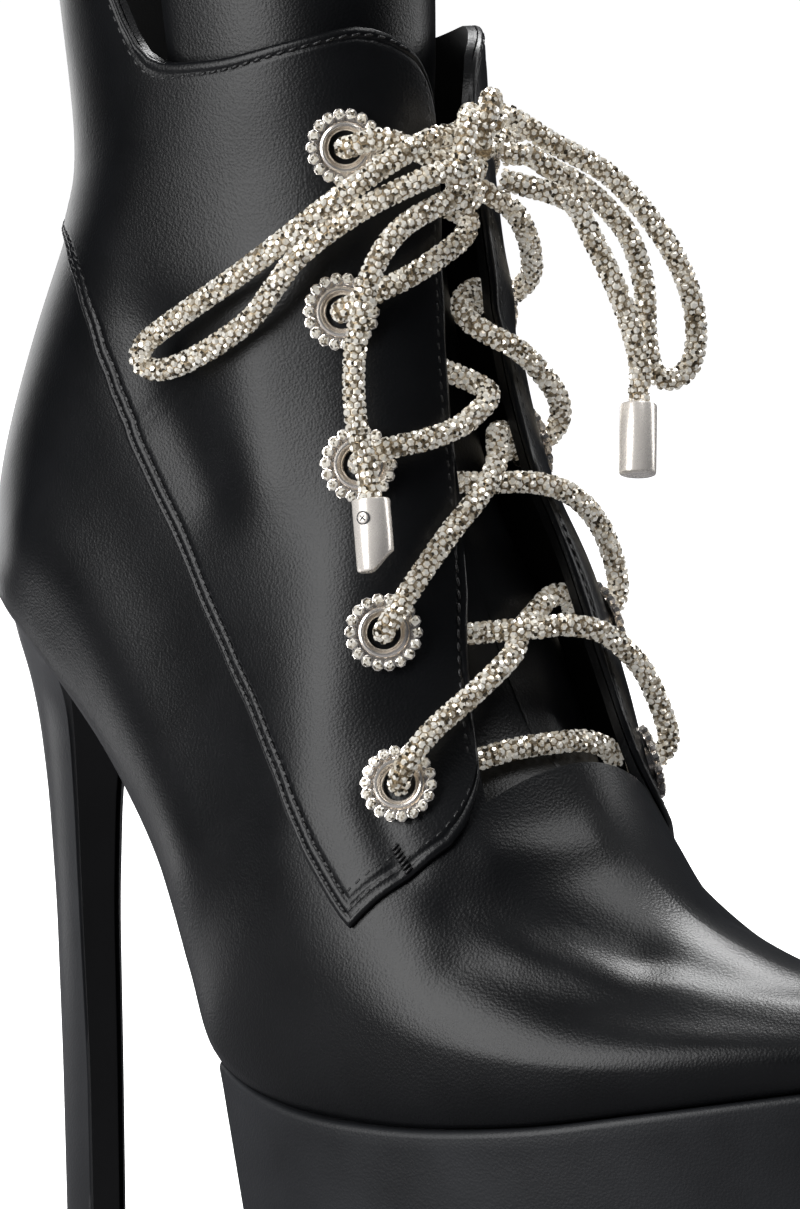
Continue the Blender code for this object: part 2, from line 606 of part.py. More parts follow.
def sole_bottom(x):
    """Height of the tread's face: flat under the ball, rising to the toe."""
    return TOE_SPRING * np.clip((x - SPRING_START) / (LENGTH - SPRING_START), 0.0, 1.0) ** 1.7


def build_platform(material):
    """Platform from the tread up to the sole edge of the upper."""
    levels = ((RIM - RIM_ROUND, 0.0), (RIM, RIM_DROP), (RIM - DRAFT / 2, 0.5), (RIM - DRAFT, 1.0))
    walls = [(sole_edges(PLATFORM_ROWS, out), share) for out, share in levels]
    rings = []
    for place, s in enumerate(PLATFORM_ROWS):
        back = float(smooth((s - UNDERCUT_START) / (PLATFORM_END - UNDERCUT_START)))
        sides = []
        for hand in (0, 1):
            column = []
            for lines, share in walls:
                x, y, top = lines[hand][place]
                low = float(sole_bottom(x)) + TREAD + GAP
                z = top - GAP + share * (low - top + GAP)
                column.append((x + UNDERCUT * back * share, y, z))
            sides.append(np.array(column))
        lateral, medial = sides
        top = [lateral[0] + f * (medial[0] - lateral[0]) for f in (0.33, 0.67)]
        low = [medial[-1] + f * (lateral[-1] - medial[-1]) for f in (0.33, 0.67)]
        rings.append(np.vstack([lateral[::-1], top, medial, low]))
    return loft("platform", rings, material)


def build_tread(material):
    """Outsole sheet under the platform, flat on the floor under the ball."""
    lateral, medial = sole_edges(PLATFORM_ROWS, RIM - DRAFT)
    rings = []
    for place, s in enumerate(PLATFORM_ROWS):
        back = float(smooth((s - UNDERCUT_START) / (PLATFORM_END - UNDERCUT_START)))
        ring = []
        for line, up in ((lateral, 1), (medial, 1), (medial, 0), (lateral, 0)):
            x, y, _ = line[place]
            ring.append((x + UNDERCUT * back, y, float(sole_bottom(x)) + up * TREAD))
        a, b, c, d = np.array(ring)
        rings.append([a, (a + b) / 2, b, c, (c + d) / 2, d])
    return loft("tread", rings, material, is_smooth=False)


def bottom_up(s):
    """Direction square to the bottom line of the last, pointing into the foot."""
    step = last_point(s - 0.05, 0.0, LATERAL) + last_point(s - 0.05, 0.0, MEDIAL)
    step -= last_point(s + 0.05, 0.0, LATERAL) + last_point(s + 0.05, 0.0, MEDIAL)
    up = np.array((-step[2], 0.0, step[0]))
    return up / np.linalg.norm(up)


def sole_sheet(name, rows, inset, low, high, material):
    """Sheet along the bottom of the last, between two heights square to it."""
    rings = []
    for s in rows:
        up = bottom_up(s)
        edges = []
        for side in (LATERAL, MEDIAL):
            edge = last_point(s, 0.0, side)
            edge[1] -= side * inset
            edges.append(edge)
        a, b = edges
        rings.append([a + high * up, (a + b) / 2 + high * up, b + high * up,
                      b + low * up, (a + b) / 2 + low * up, a + low * up])
    return loft(name, rings, material, is_smooth=False)


def seat_height(x):
    """Height of the heel seat at x."""
    rows = np.array([last_row(s) for s in REAR_ROWS[:REAR_ROWS.index(CORNER) + 1]])[::-1]
    return np.interp(x, rows[:, 0], rows[:, 1])


def heel_ring(back, breast, half_width):
    """D-shaped ring in plan, round behind and flat at the breast."""
    turn = np.linspace(-math.pi / 2, math.pi / 2, RING_POINTS)
    x = breast - (breast - back) * np.cos(turn)
    return np.c_[x, half_width * np.sin(turn)]


def build_heel(material):
    """Stiletto block between the tip and the seat."""
    rings = []
    for height, back, breast, half_width, slope in HEEL_ROWS:
        plan = heel_ring(back, breast, half_width)
        z = height + slope * (plan[:, 0] - (back + breast) / 2)
        rings.append(np.c_[plan, z])
    back, breast, half_width = HEEL_SEAT_RING
    plan = heel_ring(back, breast, half_width)
    middle = np.array(((back + breast) / 2, 0.0))
    for share in (1.0, 0.6, 0.25):
        inner = middle + share * (plan - middle)
        rings.append(np.c_[inner, seat_height(inner[:, 0]) - SOLE_GAP])
    return loft("heel", rings, material)


def build_heel_tip(material):
    """Top piece under the stiletto, flat on the floor."""
    _, back, breast, half_width, _ = HEEL_ROWS[0]
    plan = heel_ring(back, breast, half_width)
    rings = [np.c_[plan, np.full(len(plan), z)] for z in (0.0, HEEL_TIP)]
    return loft("heel_tip", rings, material, is_smooth=False)


def eyelet_axis(level, side):
    """Centre on the last and outward axis of an eyelet."""
    _, s, lateral_t, medial_t = EYELETS[level - 1]
    t = lateral_t if side == LATERAL else medial_t
    return skin(s, t, side, 0.0), last_normal(s, t, side)


def turned(name, centre, axis, profile, sides, material):
    """Ring turned round an axis from a closed profile of (radius, height)."""
    across = np.cross(axis, (0.0, 0.0, 1.0))
    across /= np.linalg.norm(across)
    up = np.cross(axis, across)
    points = []
    for turn in np.linspace(0, 2 * math.pi, sides, endpoint=False):
        spoke = math.cos(turn) * across + math.sin(turn) * up
        points += [centre + r * spoke + h * axis for r, h in profile]
    count = len(profile)
    faces = []
    for k in range(sides):
        for p in range(count):
            q = (p + 1) % count
            n = (k + 1) % sides
            faces.append((k * count + p, k * count + q, n * count + q, n * count + p))
    return new_mesh(name, points, faces, material)


def build_eyelets(material):
    """Grommets with their stone cup rings, five on each flap."""
    for name, side in SIDES.items():
        for level, *_ in EYELETS:
            centre, axis = eyelet_axis(level, side)
            turned(f"eyelet_{name}_{level}", centre, axis, EYELET_PROFILE, EYELET_SIDES, material)


def cut_eyelet_holes(pieces):
    """Cut the eyelet holes through the upper and both quarters."""
    points, faces = [], []
    for side in SIDES.values():
        for level, *_ in EYELETS:
            centre, axis = eyelet_axis(level, side)
            across = np.cross(axis, (0.0, 0.0, 1.0))
            across /= np.linalg.norm(across)
            up = np.cross(axis, across)
            start = len(points)
            for height in (-EYELET_CUT, EYELET_CUT):
                for turn in np.linspace(0, 2 * math.pi, EYELET_SIDES, endpoint=False):
                    spoke = math.cos(turn) * across + math.sin(turn) * up
                    points.append(centre + EYELET_HOLE * spoke + height * axis)
            n = EYELET_SIDES
            faces.append([start + k for k in range(n)])
            faces.append([start + n + k for k in range(n)])
            for k in range(n):
                m = (k + 1) % n
                faces.append((start + k, start + m, start + n + m, start + n + k))
    cutter = new_mesh("eyelet_cutter", points, faces, bpy.data.materials["metal"], is_smooth=False)
    cutter.hide_render = True
    cutter.display_type = "WIRE"
    for piece in pieces:
        cut = piece.modifiers.new("eyelet_holes", "BOOLEAN")
        cut.operation = "DIFFERENCE"
        cut.solver = "EXACT"
        cut.object = cutter


def run_points(run):
    """Route of a lace run from above the bore of its eyelet."""
    (name, level), places = LACE_RUNS[run]
    centre, axis = eyelet_axis(level, SIDES[name])
    rest = [skin(s, t, side, height) for side, s, t, height in places]
    ends = knot_join(KNOT_JOINS[run][0], LEAD_REACH)[::-1] if run in KNOT_JOINS else []
    return curve_through([centre + OVER_BORE * axis] + rest + ends, RUN_SPACING)


def build_lace(material):
    """Bars, crossings and turns of the lace between the eyelets."""
    bar = [skin(s, t, side, height) for side, s, t, height in BOTTOM_BAR]
    tube("lace_bar", curve_through(bar, RUN_SPACING), LACE / 2, material)
    for level in ("low", "high"):
        first = tube("lace_cross_" + level, run_points(level + "_a"), LACE / 2, material)
        second = tube("lace_second_" + level, run_points(level + "_b"), LACE / 2, material)
        second.hide_render = True
        second.display_type = "WIRE"
        join = first.modifiers.new("join", "BOOLEAN")
        join.operation = "UNION"
        join.solver = "EXACT"
        join.object = second
    for run in LACE_RUNS:
        if run.startswith(("turn", "lead")):
            tube("lace_" + run, run_points(run), LACE / 2, material)


def knot_join(direction, reach):
    """Two points of a lace that meets the knot squarely: at its face and a reach away from it."""
    half = np.array(KNOT_HALF)
    unit = np.array(direction) / np.linalg.norm(direction)
    away = unit / half
    away /= np.linalg.norm(away)
    face = np.array(KNOT_CENTRE) + half * unit + KNOT_GAP * away
    return [face, face + reach * away]


def build_knot(material):
    """Knot of the bow."""
    centre = np.array(KNOT_CENTRE)
    half = np.array(KNOT_HALF)
    rings = []
    for tilt in np.linspace(-KNOT_TILT, KNOT_TILT, KNOT_RINGS) * math.pi:
        turn = np.linspace(0, 2 * math.pi, KNOT_SIDES, endpoint=False)
        ring = np.c_[np.cos(turn) * math.cos(tilt), np.sin(turn) * math.cos(tilt),
                     np.full(KNOT_SIDES, math.sin(tilt))]
        rings.append(centre + half * ring)
    return loft("lace_knot", rings, material)


def build_cord(name, material):
    """Free lace as a bevelled curve along its own route."""
    joins = [knot_join(direction, CORD_REACH) for direction in KNOT_JOINS[name]]
    places = joins[0] + [np.array(point) for point in CORD_ROUTES[name]]
    if len(joins) > 1:
        places += joins[1][::-1]
    route = curve_through(places, CORD_SPACING)
    data = bpy.data.curves.new(name, "CURVE")
    data.dimensions = "3D"
    data.bevel_depth = LACE / 2 * MM
    data.bevel_resolution = 2
    data.use_fill_caps = True
    spline = data.splines.new("POLY")
    spline.points.add(len(route) - 1)
    for point, place in zip(spline.points, route):
        shifted = (Vector(place) - Vector((ORIGIN_X, ORIGIN_Y, 0.0))) * MM
        point.co = (*shifted, 1.0)
    data.materials.append(material)
    item = bpy.data.objects.new(name, data)
    bpy.context.scene.collection.objects.link(item)
    return item


def build_aglet(name, material):
    """Metal end cap of the lace."""
    start, end = (np.array(point) for point in AGLETS[name])
    return tube(name, [start, start + 0.5 * (end - start), end], AGLET_RADIUS, material, sides=12)


def main():
    """Build every node."""
    for item in list(bpy.data.objects):
        bpy.data.objects.remove(item)
    leather = new_material("leather", (0.012, 0.012, 0.014), 0.38)
    lining = new_material("lining", (0.02, 0.02, 0.02), 0.8)
    sole = new_material("sole", (0.01, 0.01, 0.01), 0.45)
    gloss = new_material("heel_gloss", (0.008, 0.008, 0.009), 0.2)
    metal = new_material("metal", (0.72, 0.68, 0.62), 0.2, 1.0)
    lace = new_material("stone_lace", (0.75, 0.73, 0.68), 0.25, 0.6)
    upper = build_upper(leather)
    quarters = [build_quarter(name, side, leather) for name, side in SIDES.items()]
    build_tongue(leather)
    inside_rows = TOE_ROWS[1:] + REAR_ROWS[:REAR_ROWS.index(CORNER) - 1] + (INSOLE_END,)
    sole_sheet("insole", inside_rows, INSOLE_INSET, SOLE_GAP, SOLE_GAP + INSOLE, lining)
    build_platform(leather)
    build_tread(sole)
    sole_sheet("waist_cover", WAIST_ROWS, WAIST_INSET, -SOLE_GAP - WAIST_COVER, -SOLE_GAP, sole)
    build_heel(gloss)
    build_heel_tip(sole)
    build_eyelets(metal)
    cut_eyelet_holes([upper] + quarters)
    build_lace(lace)
    build_knot(lace)
    for name in CORD_ROUTES:
        build_cord(name, lace)
    for name in AGLETS:
        build_aglet(name, metal)


main()
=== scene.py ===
"""Looks of a right-foot platform stiletto bootie, laid out as a Blender add-on and run as a script.

Lengths in the tables are millimetres in the maker's own frame: x from the heel's back to the toe, y to
the medial side, z up from the floor. A place on the last is (s, t, side), as in the part's own source:
s counts the rows of LAST from the toe tip to the collar, t runs from the sole edge to the ridge.
"""
import math

import bpy
import numpy as np
from bpy.props import FloatProperty, FloatVectorProperty, IntProperty, PointerProperty
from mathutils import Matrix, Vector


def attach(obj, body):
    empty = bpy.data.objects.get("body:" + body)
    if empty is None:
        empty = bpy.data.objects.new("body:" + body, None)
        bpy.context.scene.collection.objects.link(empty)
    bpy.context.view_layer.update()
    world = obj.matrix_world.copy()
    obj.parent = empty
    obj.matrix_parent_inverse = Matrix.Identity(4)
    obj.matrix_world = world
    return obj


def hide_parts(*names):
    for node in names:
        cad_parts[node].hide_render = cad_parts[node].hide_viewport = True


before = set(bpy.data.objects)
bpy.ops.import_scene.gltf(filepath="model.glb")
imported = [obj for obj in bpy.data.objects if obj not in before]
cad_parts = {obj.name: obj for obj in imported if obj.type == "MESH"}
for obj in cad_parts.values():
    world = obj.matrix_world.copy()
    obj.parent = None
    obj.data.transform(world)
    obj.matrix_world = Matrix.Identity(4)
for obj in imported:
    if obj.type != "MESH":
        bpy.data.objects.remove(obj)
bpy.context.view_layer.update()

bl_info = {
    "name": "Platform stiletto bootie",
    "version": (1, 0, 0),
    "blender": (4, 5, 0),
    "location": "View3D > Sidebar > Bootie",
    "description": "Builds the leather, lace, stones, sole and stage of a platform stiletto bootie",
    "category": "Add Mesh",
}

MM = 0.001
LATERAL = -1
MEDIAL = 1
SIDES = {"lateral": LATERAL, "medial": MEDIAL}
ORIGIN = np.array((126.97, -1.47, 0.0))
SEED = 11

# Driving dimensions of the last
LENGTH = 252.0
BALL_WIDTH = 83.5
PLATFORM = 55.0
HEEL_SEAT = 156.0
TOP_HEIGHT = 320.0
WALL = 1.8
QUARTER = 1.2
GRAIN = 0.55
GAP = 0.3
FLARE = {LATERAL: 1.0, MEDIAL: 3.0}
FLARE_START = 7.2
FLARE_RISE = 2.5
FLARE_NEAR = 0.6

# Fan of sections, as shares of the driving dimensions
LAST = (
    # name, bottom_x, bottom_z, top_x, top_z, wide_l, wide_m, sole_l, sole_m, skew, belly, low, high_l, high_m
    ("tip", 1.000, 0.198, 1.000, 0.236, 0.002, 0.002, 0.002, 0.002, 0.00, 0.36, 2.00, 2.00, 2.00),
    ("nose", 0.988, 0.192, 0.994, 0.259, 0.156, 0.156, 0.132, 0.132, 0.00, 0.38, 2.00, 2.10, 2.10),
    ("toe_point", 0.952, 0.174, 0.964, 0.270, 0.323, 0.335, 0.275, 0.287, 0.02, 0.36, 2.00, 2.00, 2.00),
    ("toe", 0.885, 0.139, 0.903, 0.278, 0.563, 0.575, 0.491, 0.503, 0.05, 0.35, 2.00, 1.80, 1.80),
    ("toe_root", 0.802, 0.092, 0.827, 0.289, 0.790, 0.790, 0.707, 0.707, 0.09, 0.34, 2.00, 1.60, 1.60),
    ("forefoot", 0.706, 0.038, 0.746, 0.312, 0.946, 0.922, 0.862, 0.826, 0.13, 0.34, 2.00, 1.55, 1.55),
    ("ball", 0.595, 0.002, 0.675, 0.355, 1.030, 0.970, 0.946, 0.862, 0.17, 0.34, 2.00, 1.70, 1.70),
    ("ball_back", 0.486, 0.006, 0.621, 0.412, 1.030, 0.922, 0.958, 0.778, 0.22, 0.36, 2.00, 2.00, 2.00),
    ("waist", 0.404, 0.069, 0.583, 0.466, 0.982, 0.850, 0.893, 0.623, 0.25, 0.40, 2.00, 2.20, 2.70),
    ("shank_low", 0.344, 0.233, 0.558, 0.519, 0.898, 0.790, 0.775, 0.527, 0.20, 0.44, 2.00, 2.40, 2.90),
    ("shank_high", 0.278, 0.450, 0.536, 0.569, 0.826, 0.754, 0.660, 0.491, 0.10, 0.46, 2.00, 2.50, 2.65),
    ("instep", 0.202, 0.658, 0.518, 0.619, 0.778, 0.754, 0.611, 0.515, 0.04, 0.46, 2.00, 2.50, 2.65),
    ("breast", 0.127, 0.827, 0.506, 0.662, 0.766, 0.766, 0.599, 0.563, 0.02, 0.46, 2.00, 2.50, 2.65),
    ("seat", 0.060, 0.926, 0.498, 0.700, 0.766, 0.766, 0.479, 0.479, 0.00, 0.46, 2.00, 2.50, 2.65),
    ("seat_back", 0.018, 0.972, 0.493, 0.728, 0.766, 0.766, 0.240, 0.240, 0.00, 0.46, 2.00, 2.50, 2.65),
    ("corner", 0.003, 1.000, 0.491, 0.744, 0.754, 0.754, 0.000, 0.000, 0.00, 0.46, 2.00, 2.50, 2.65),
    ("heel", 0.001, 1.168, 0.485, 0.775, 0.754, 0.754, 0.000, 0.000, 0.00, 0.46, 1.90, 2.50, 2.65),
    ("tendon", 0.036, 1.436, 0.479, 0.809, 0.743, 0.743, 0.000, 0.000, 0.00, 0.46, 1.70, 2.50, 2.65),
    ("ankle", 0.081, 1.703, 0.472, 0.844, 0.743, 0.743, 0.000, 0.000, 0.00, 0.47, 1.60, 2.50, 2.65),
    ("neck", 0.099, 1.891, 0.466, 0.875, 0.743, 0.743, 0.000, 0.000, 0.00, 0.48, 1.65, 2.50, 2.65),
    ("collar", 0.089, 2.257, 0.462, 0.931, 0.766, 0.766, 0.000, 0.000, 0.00, 0.48, 1.80, 2.40, 2.60),
    ("top", 0.071, 2.624, 0.466, 1.000, 0.790, 0.790, 0.000, 0.000, 0.00, 0.48, 1.80, 2.40, 2.60),
)
ROW = {row[0]: place for place, row in enumerate(LAST)}
CORNER = ROW["corner"]
SECTION_POINTS = 60
CORNER_SPAN = (12.6, 18.0)
CORNER_SOFT = 0.6
CORNER_FADE = 1.5
CORNER_EDGE = 0.12
S_STEP = 0.05
T_COUNT = 181

# Half width of the throat, from the ridge to each flap edge
THROAT = np.array([
    # s, lateral, medial
    (6.75, 21.0, 21.0),
    (7.80, 15.5, 17.0),
    (8.80, 11.5, 14.0),
    (10.0, 9.0, 10.5),
    (11.2, 7.0, 9.0),
    (12.7, 4.8, 8.2),
    (15.9, 2.6, 6.9),
    (17.3, 2.0, 7.2),
    (19.0, 2.0, 11.5),
])
S_THROAT = 6.75
REAR_SEAM = np.array([
    # s, t
    (6.60, 0.41),
    (6.90, 0.412),
    (7.50, 0.447),
    (8.10, 0.464),
    (8.70, 0.453),
    (10.2, 0.398),
    (11.0, 0.391),
    (12.3, 0.413),
    (14.2, 0.467),
    (14.9, 0.472),
    (15.6, 0.459),
    (16.4, 0.416),
    (17.1, 0.347),
    (17.7, 0.242),
    (18.3, 0.0),
])
HEM = np.array([
    # across, s
    (0.00, 6.90),
    (0.20, 6.82),
    (0.40, 6.72),
    (0.70, 6.64),
    (1.00, S_THROAT),
])
COLLAR = np.array([
    # across, s
    (0.00, 20.45),
    (0.30, 20.40),
    (0.38, 20.15),
    (0.425, 19.72),
    (0.46, 19.38),
    (0.51, 19.20),
    (0.66, 19.00),
    (0.86, 18.90),
    (1.00, 18.86),
])
COLLAR_TURN = 0.86
COLLAR_CORNER = 2.0
FLAP_TURN = 0.80
FLAP_CORNER = 0.35
SEAM_LOW = 6.9
SEAM_HIGH = 20.45
SEAM_SOFT = 0.35
SEAM_CLOSE = (18.36, 0.1)
COLLAR_SOFT = 0.05
TOE_END = 6.2
TIP_INWARD = (-0.6, 0.0, 0.8)
QUARTER_HIGH = 185.0

# Creases: soft troughs (negative height) and ridges along a line of (s, t) places
CREASES = (
    # side, height, width, places
    (LATERAL, -1.1, 6.0, ((6.25, 0.57), (5.6, 0.65), (5.2, 0.71), (4.7, 0.70))),
    (LATERAL, -0.9, 6.0, ((5.9, 0.47), (5.0, 0.48), (4.3, 0.49), (3.8, 0.51), (2.8, 0.52))),
    (LATERAL, -0.55, 5.0, ((4.8, 0.76), (4.0, 0.77), (3.3, 0.84))),
    (LATERAL, 0.8, 5.0, ((6.35, 0.72), (6.1, 0.82), (6.0, 0.92))),
    (LATERAL, 0.5, 6.0, ((5.5, 0.56), (4.9, 0.60), (4.3, 0.62))),
    (LATERAL, -0.9, 4.0, ((6.85, 0.578), (7.10, 0.592), (7.45, 0.617))),
    (MEDIAL, -1.0, 5.0, ((6.3, 0.60), (5.6, 0.68), (5.1, 0.76))),
    (MEDIAL, -0.8, 6.0, ((5.6, 0.48), (4.6, 0.50), (3.6, 0.54))),
    (LATERAL, -1.9, 9.0, ((15.7, 0.55), (14.6, 0.54), (13.4, 0.53), (12.0, 0.51))),
    (LATERAL, 1.2, 10.0, ((14.6, 0.72), (12.8, 0.66), (11.7, 0.61))),
    (LATERAL, 2.3, 13.0, ((13.6, 0.21), (12.2, 0.19), (10.9, 0.15), (9.6, 0.14))),
    (MEDIAL, -1.2, 11.0, ((15.6, 0.60), (14.2, 0.56), (13.0, 0.50))),
    (MEDIAL, 0.7, 7.0, ((13.0, 0.86), (12.2, 0.80), (11.8, 0.72))),
    (MEDIAL, -0.8, 4.0, ((12.5, 0.92), (12.1, 0.84), (11.9, 0.76))),
)

# Stitch rows on the quarters, as distance from the edge
REAR_ROWS_IN = (1.7, 3.8)
FRONT_ROW_IN = 2.3
STITCH_LONG = 2.1
STITCH_PITCH = 2.7
EDGE_STEPS = (0.0, 0.3, 0.65, 1.05, 1.4, 1.7, 2.0, 2.3, 2.65, 3.05, 3.45, 3.8, 4.15, 4.6, 5.4)
TROUGH = 0.36
TROUGH_WIDE = 0.42
ROLL = 0.55
ROLL_WIDE = 1.0
BAR_TACK = 0.44
TACK_STITCHES = 7
TACK_LIFT = 0.5
TACK_SPAN = (0.004, 0.023)
TACK_POINTS = 9
THREAD_LIFT = 0.12
STITCH_SLANT = 0.12
STITCH_END = 18.1
SEAM_SEWN = (18.2, 0.3)
HEM_FADE = 0.04
HEM_ROW_END = 0.95
FRONT_SPAN = (0.03, 0.985)
TOP_SPAN = (0.02, 0.975)
FAR_OFF = 99.0
THREAD = (
    # place along the stitch, radius, height
    (-1.0, 0.12, -0.26), (-0.86, 0.28, -0.08), (-0.4, 0.36, 0.04),
    (0.4, 0.36, 0.04), (0.86, 0.28, -0.08), (1.0, 0.12, -0.26),
)
THREAD_TONES = ((0.003, 0.003, 0.0035), (0.010, 0.010, 0.011))
BACK_THIN = 0.7
THIN_UP = (16.6, 0.9)
THIN_ROUND = (0.24, 0.22)

# Tongue: edge as t, and depth of its outer face below the last
TONGUE_ROWS = np.array([
    # s, edge_t, depth
    (6.20, 0.84, 2.6),
    (6.60, 0.80, 2.9),
    (6.85, 0.76, 6.4),
    (7.10, 0.73, 8.2),
    (8.00, 0.68, 8.4),
    (9.50, 0.60, 8.4),
    (11.5, 0.55, 8.4),
    (14.0, 0.52, 8.4),
    (16.5, 0.50, 8.2),
    (18.0, 0.48, 6.4),
    (19.2, 0.47, 5.4),
    (20.4, 0.47, 5.0),
])
TONGUE = 2.0
TONGUE_SOFT = 0.25
TONGUE_RIM = 0.05
TONGUE_TOP = (20.25, 0.15)

# Sole pieces
RIM = 2.2
RIM_ROUND = 1.2
RIM_TUCK = 1.9
RIM_DROP = 0.03
WALL_SPAN = (0.08, 0.985)
LOW_ROUND = 0.4
DRAFT = 3.0
TREAD = 3.0
TREAD_ROUND = 0.35
UNDERCUT = 9.0
UNDERCUT_START = 6.4
PLATFORM_END = 7.98
TOE_SPRING = 17.0
SPRING_START = 165.0
SPRING_POWER = 1.7
SOLE_GAP = 0.5
SHEET_ROUND = 0.4
SHEET_BEVEL = 0.3
INSOLE = 2.0
INSOLE_INSET = 2.4
INSOLE_SPAN = (1.0, 13.9)
WAIST_COVER = 1.8
WAIST_INSET = 2.5
WAIST_SPAN = (8.05, 12.0)

# Heel rings
HEEL_TIP = 6.0
HEEL_ROWS = np.array([
    # height, back_x, breast_x, half_width, slope
    (HEEL_TIP + GAP, 12.6, 24.2, 5.6, 0.0),
    (45.0, 11.9, 23.9, 5.8, 0.0),
    (80.0, 11.0, 22.8, 6.6, 0.0),
    (105.0, 9.4, 22.8, 7.8, 0.0),
    (122.0, 7.4, 23.8, 10.0, -0.12),
    (134.0, 5.0, 26.4, 14.5, -0.32),
    (142.0, 2.9, 28.8, 20.0, -0.48),
])
HEEL_SEAT_RING = (1.6, 30.2, 23.0)
BREAST_DEEP = 0.7
BREAST_LIP = 0.14
BREAST_EDGE = 0.25
BACK_POINTS = 41
HEEL_FLARE = (105.0, 106.5)
HEEL_SOFT = 6.0
HEEL_SOFT_UP = (12.0, 20.0)
TOP_PIECE = (
    # inset, height
    (0.5, 0.0), (0.1, 0.5), (0.0, 1.2), (0.0, HEEL_TIP - 0.3), (0.25, HEEL_TIP),
)
# Black of the heel breast's lacquer, also the painted shade in the screw's seat and slots
LACQUER_AND_PAINTED_SHADE = (0.004, 0.004, 0.0045)

# Eyelets: place of each level on the flaps
EYELETS = (
    # level, s, lateral_t, medial_t
    (1, 16.8, 0.86, 0.83),
    (2, 13.2, 0.83, 0.80),
    (3, 10.9, 0.78, 0.77),
    (4, 8.9, 0.75, 0.73),
    (5, 7.4, 0.67, 0.67),
)
GROMMET = (
    # radius, height above the last
    (3.45, -2.3), (3.75, -2.3), (3.75, 1.75), (6.6, 1.75), (6.6, 2.05), (5.3, 2.15), (5.25, 2.8),
    (5.1, 3.2), (4.75, 3.4), (4.4, 3.35), (4.2, 3.0), (4.12, 2.3), (3.9, 2.1), (3.75, 2.5), (3.6, 2.6),
    (3.45, 2.4), (3.4, 1.4),
)
GROMMET_SIDES = 48
CUPS = 18
CUP_RING = 6.45
CUP_RADIUS = 1.24
CUP_FLOOR = 2.0
CUP_RIM = 3.0
CUP_SIDES = 8
CUP_TILT = 0.12
CLAW = 0.22
CUP_ROWS = (
    # share of the radius, height, share of the claws
    (0.8, CUP_FLOOR, 0.0), (1.0, CUP_RIM - 0.25, 0.0), (1.02, CUP_RIM, 1.0), (0.84, CUP_RIM + 0.05, 1.0),
)
CUP_STONE_ROWS = ((0.9, CUP_RIM - 0.1, 0.0), (0.86, CUP_RIM + 0.1, 0.0), (0.5, CUP_RIM + 0.42, 0.0))
# Painted glint values of the cup stones' facets, and their odds
CUP_SHARES = (0.05, 0.35, 0.7, 0.9, 1.0)
CUP_ODDS = (0.1, 0.16, 0.22, 0.24, 0.28)

# Lace
NET_RADIUS = 1.82
NET_SIDES = 12
FRAME_START = (0.3, 0.1, 0.95)
STONES_AROUND = 7
STONE_PITCH = 1.46
STONE_GIRDLE = 0.87
STONE_TABLE = 0.5
STONE_HIGH = 0.52
STONE_SIDES = 6
STONE_TURN = 0.03
STONE_TILT = 0.10
STONE_SPREAD = 0.05
# Painted glint value of faces that have none of their own
PLAIN_FACET = 0.5
# Painted glint values of crown and table facets, and their odds
CROWN_SHARES = (0.02, 0.3, 0.6, 0.85, 1.0)
CROWN_ODDS = (0.15, 0.21, 0.19, 0.16, 0.29)
TABLE_SHARES = (0.45, 0.8, 1.0)
TABLE_ODDS = (0.12, 0.26, 0.62)
PAINTED_GLINT_TONES = (
    # painted glint value, colour: dark facets are painted reflection, bright ones painted glints
    (0.0, (0.036, 0.029, 0.019)),
    (0.3, (0.24, 0.20, 0.143)),
    (0.6, (0.63, 0.565, 0.455)),
    (1.0, (0.9, 0.868, 0.79)),
)
INSIDE = -5.0
OVER_RIM = 7.2
BORE_OUT = ((-1.2, 0.0), (2.0, 0.0), (5.2, 1.3))
BORE_IN = ((-4.9, 2.6), (-2.6, 0.0))
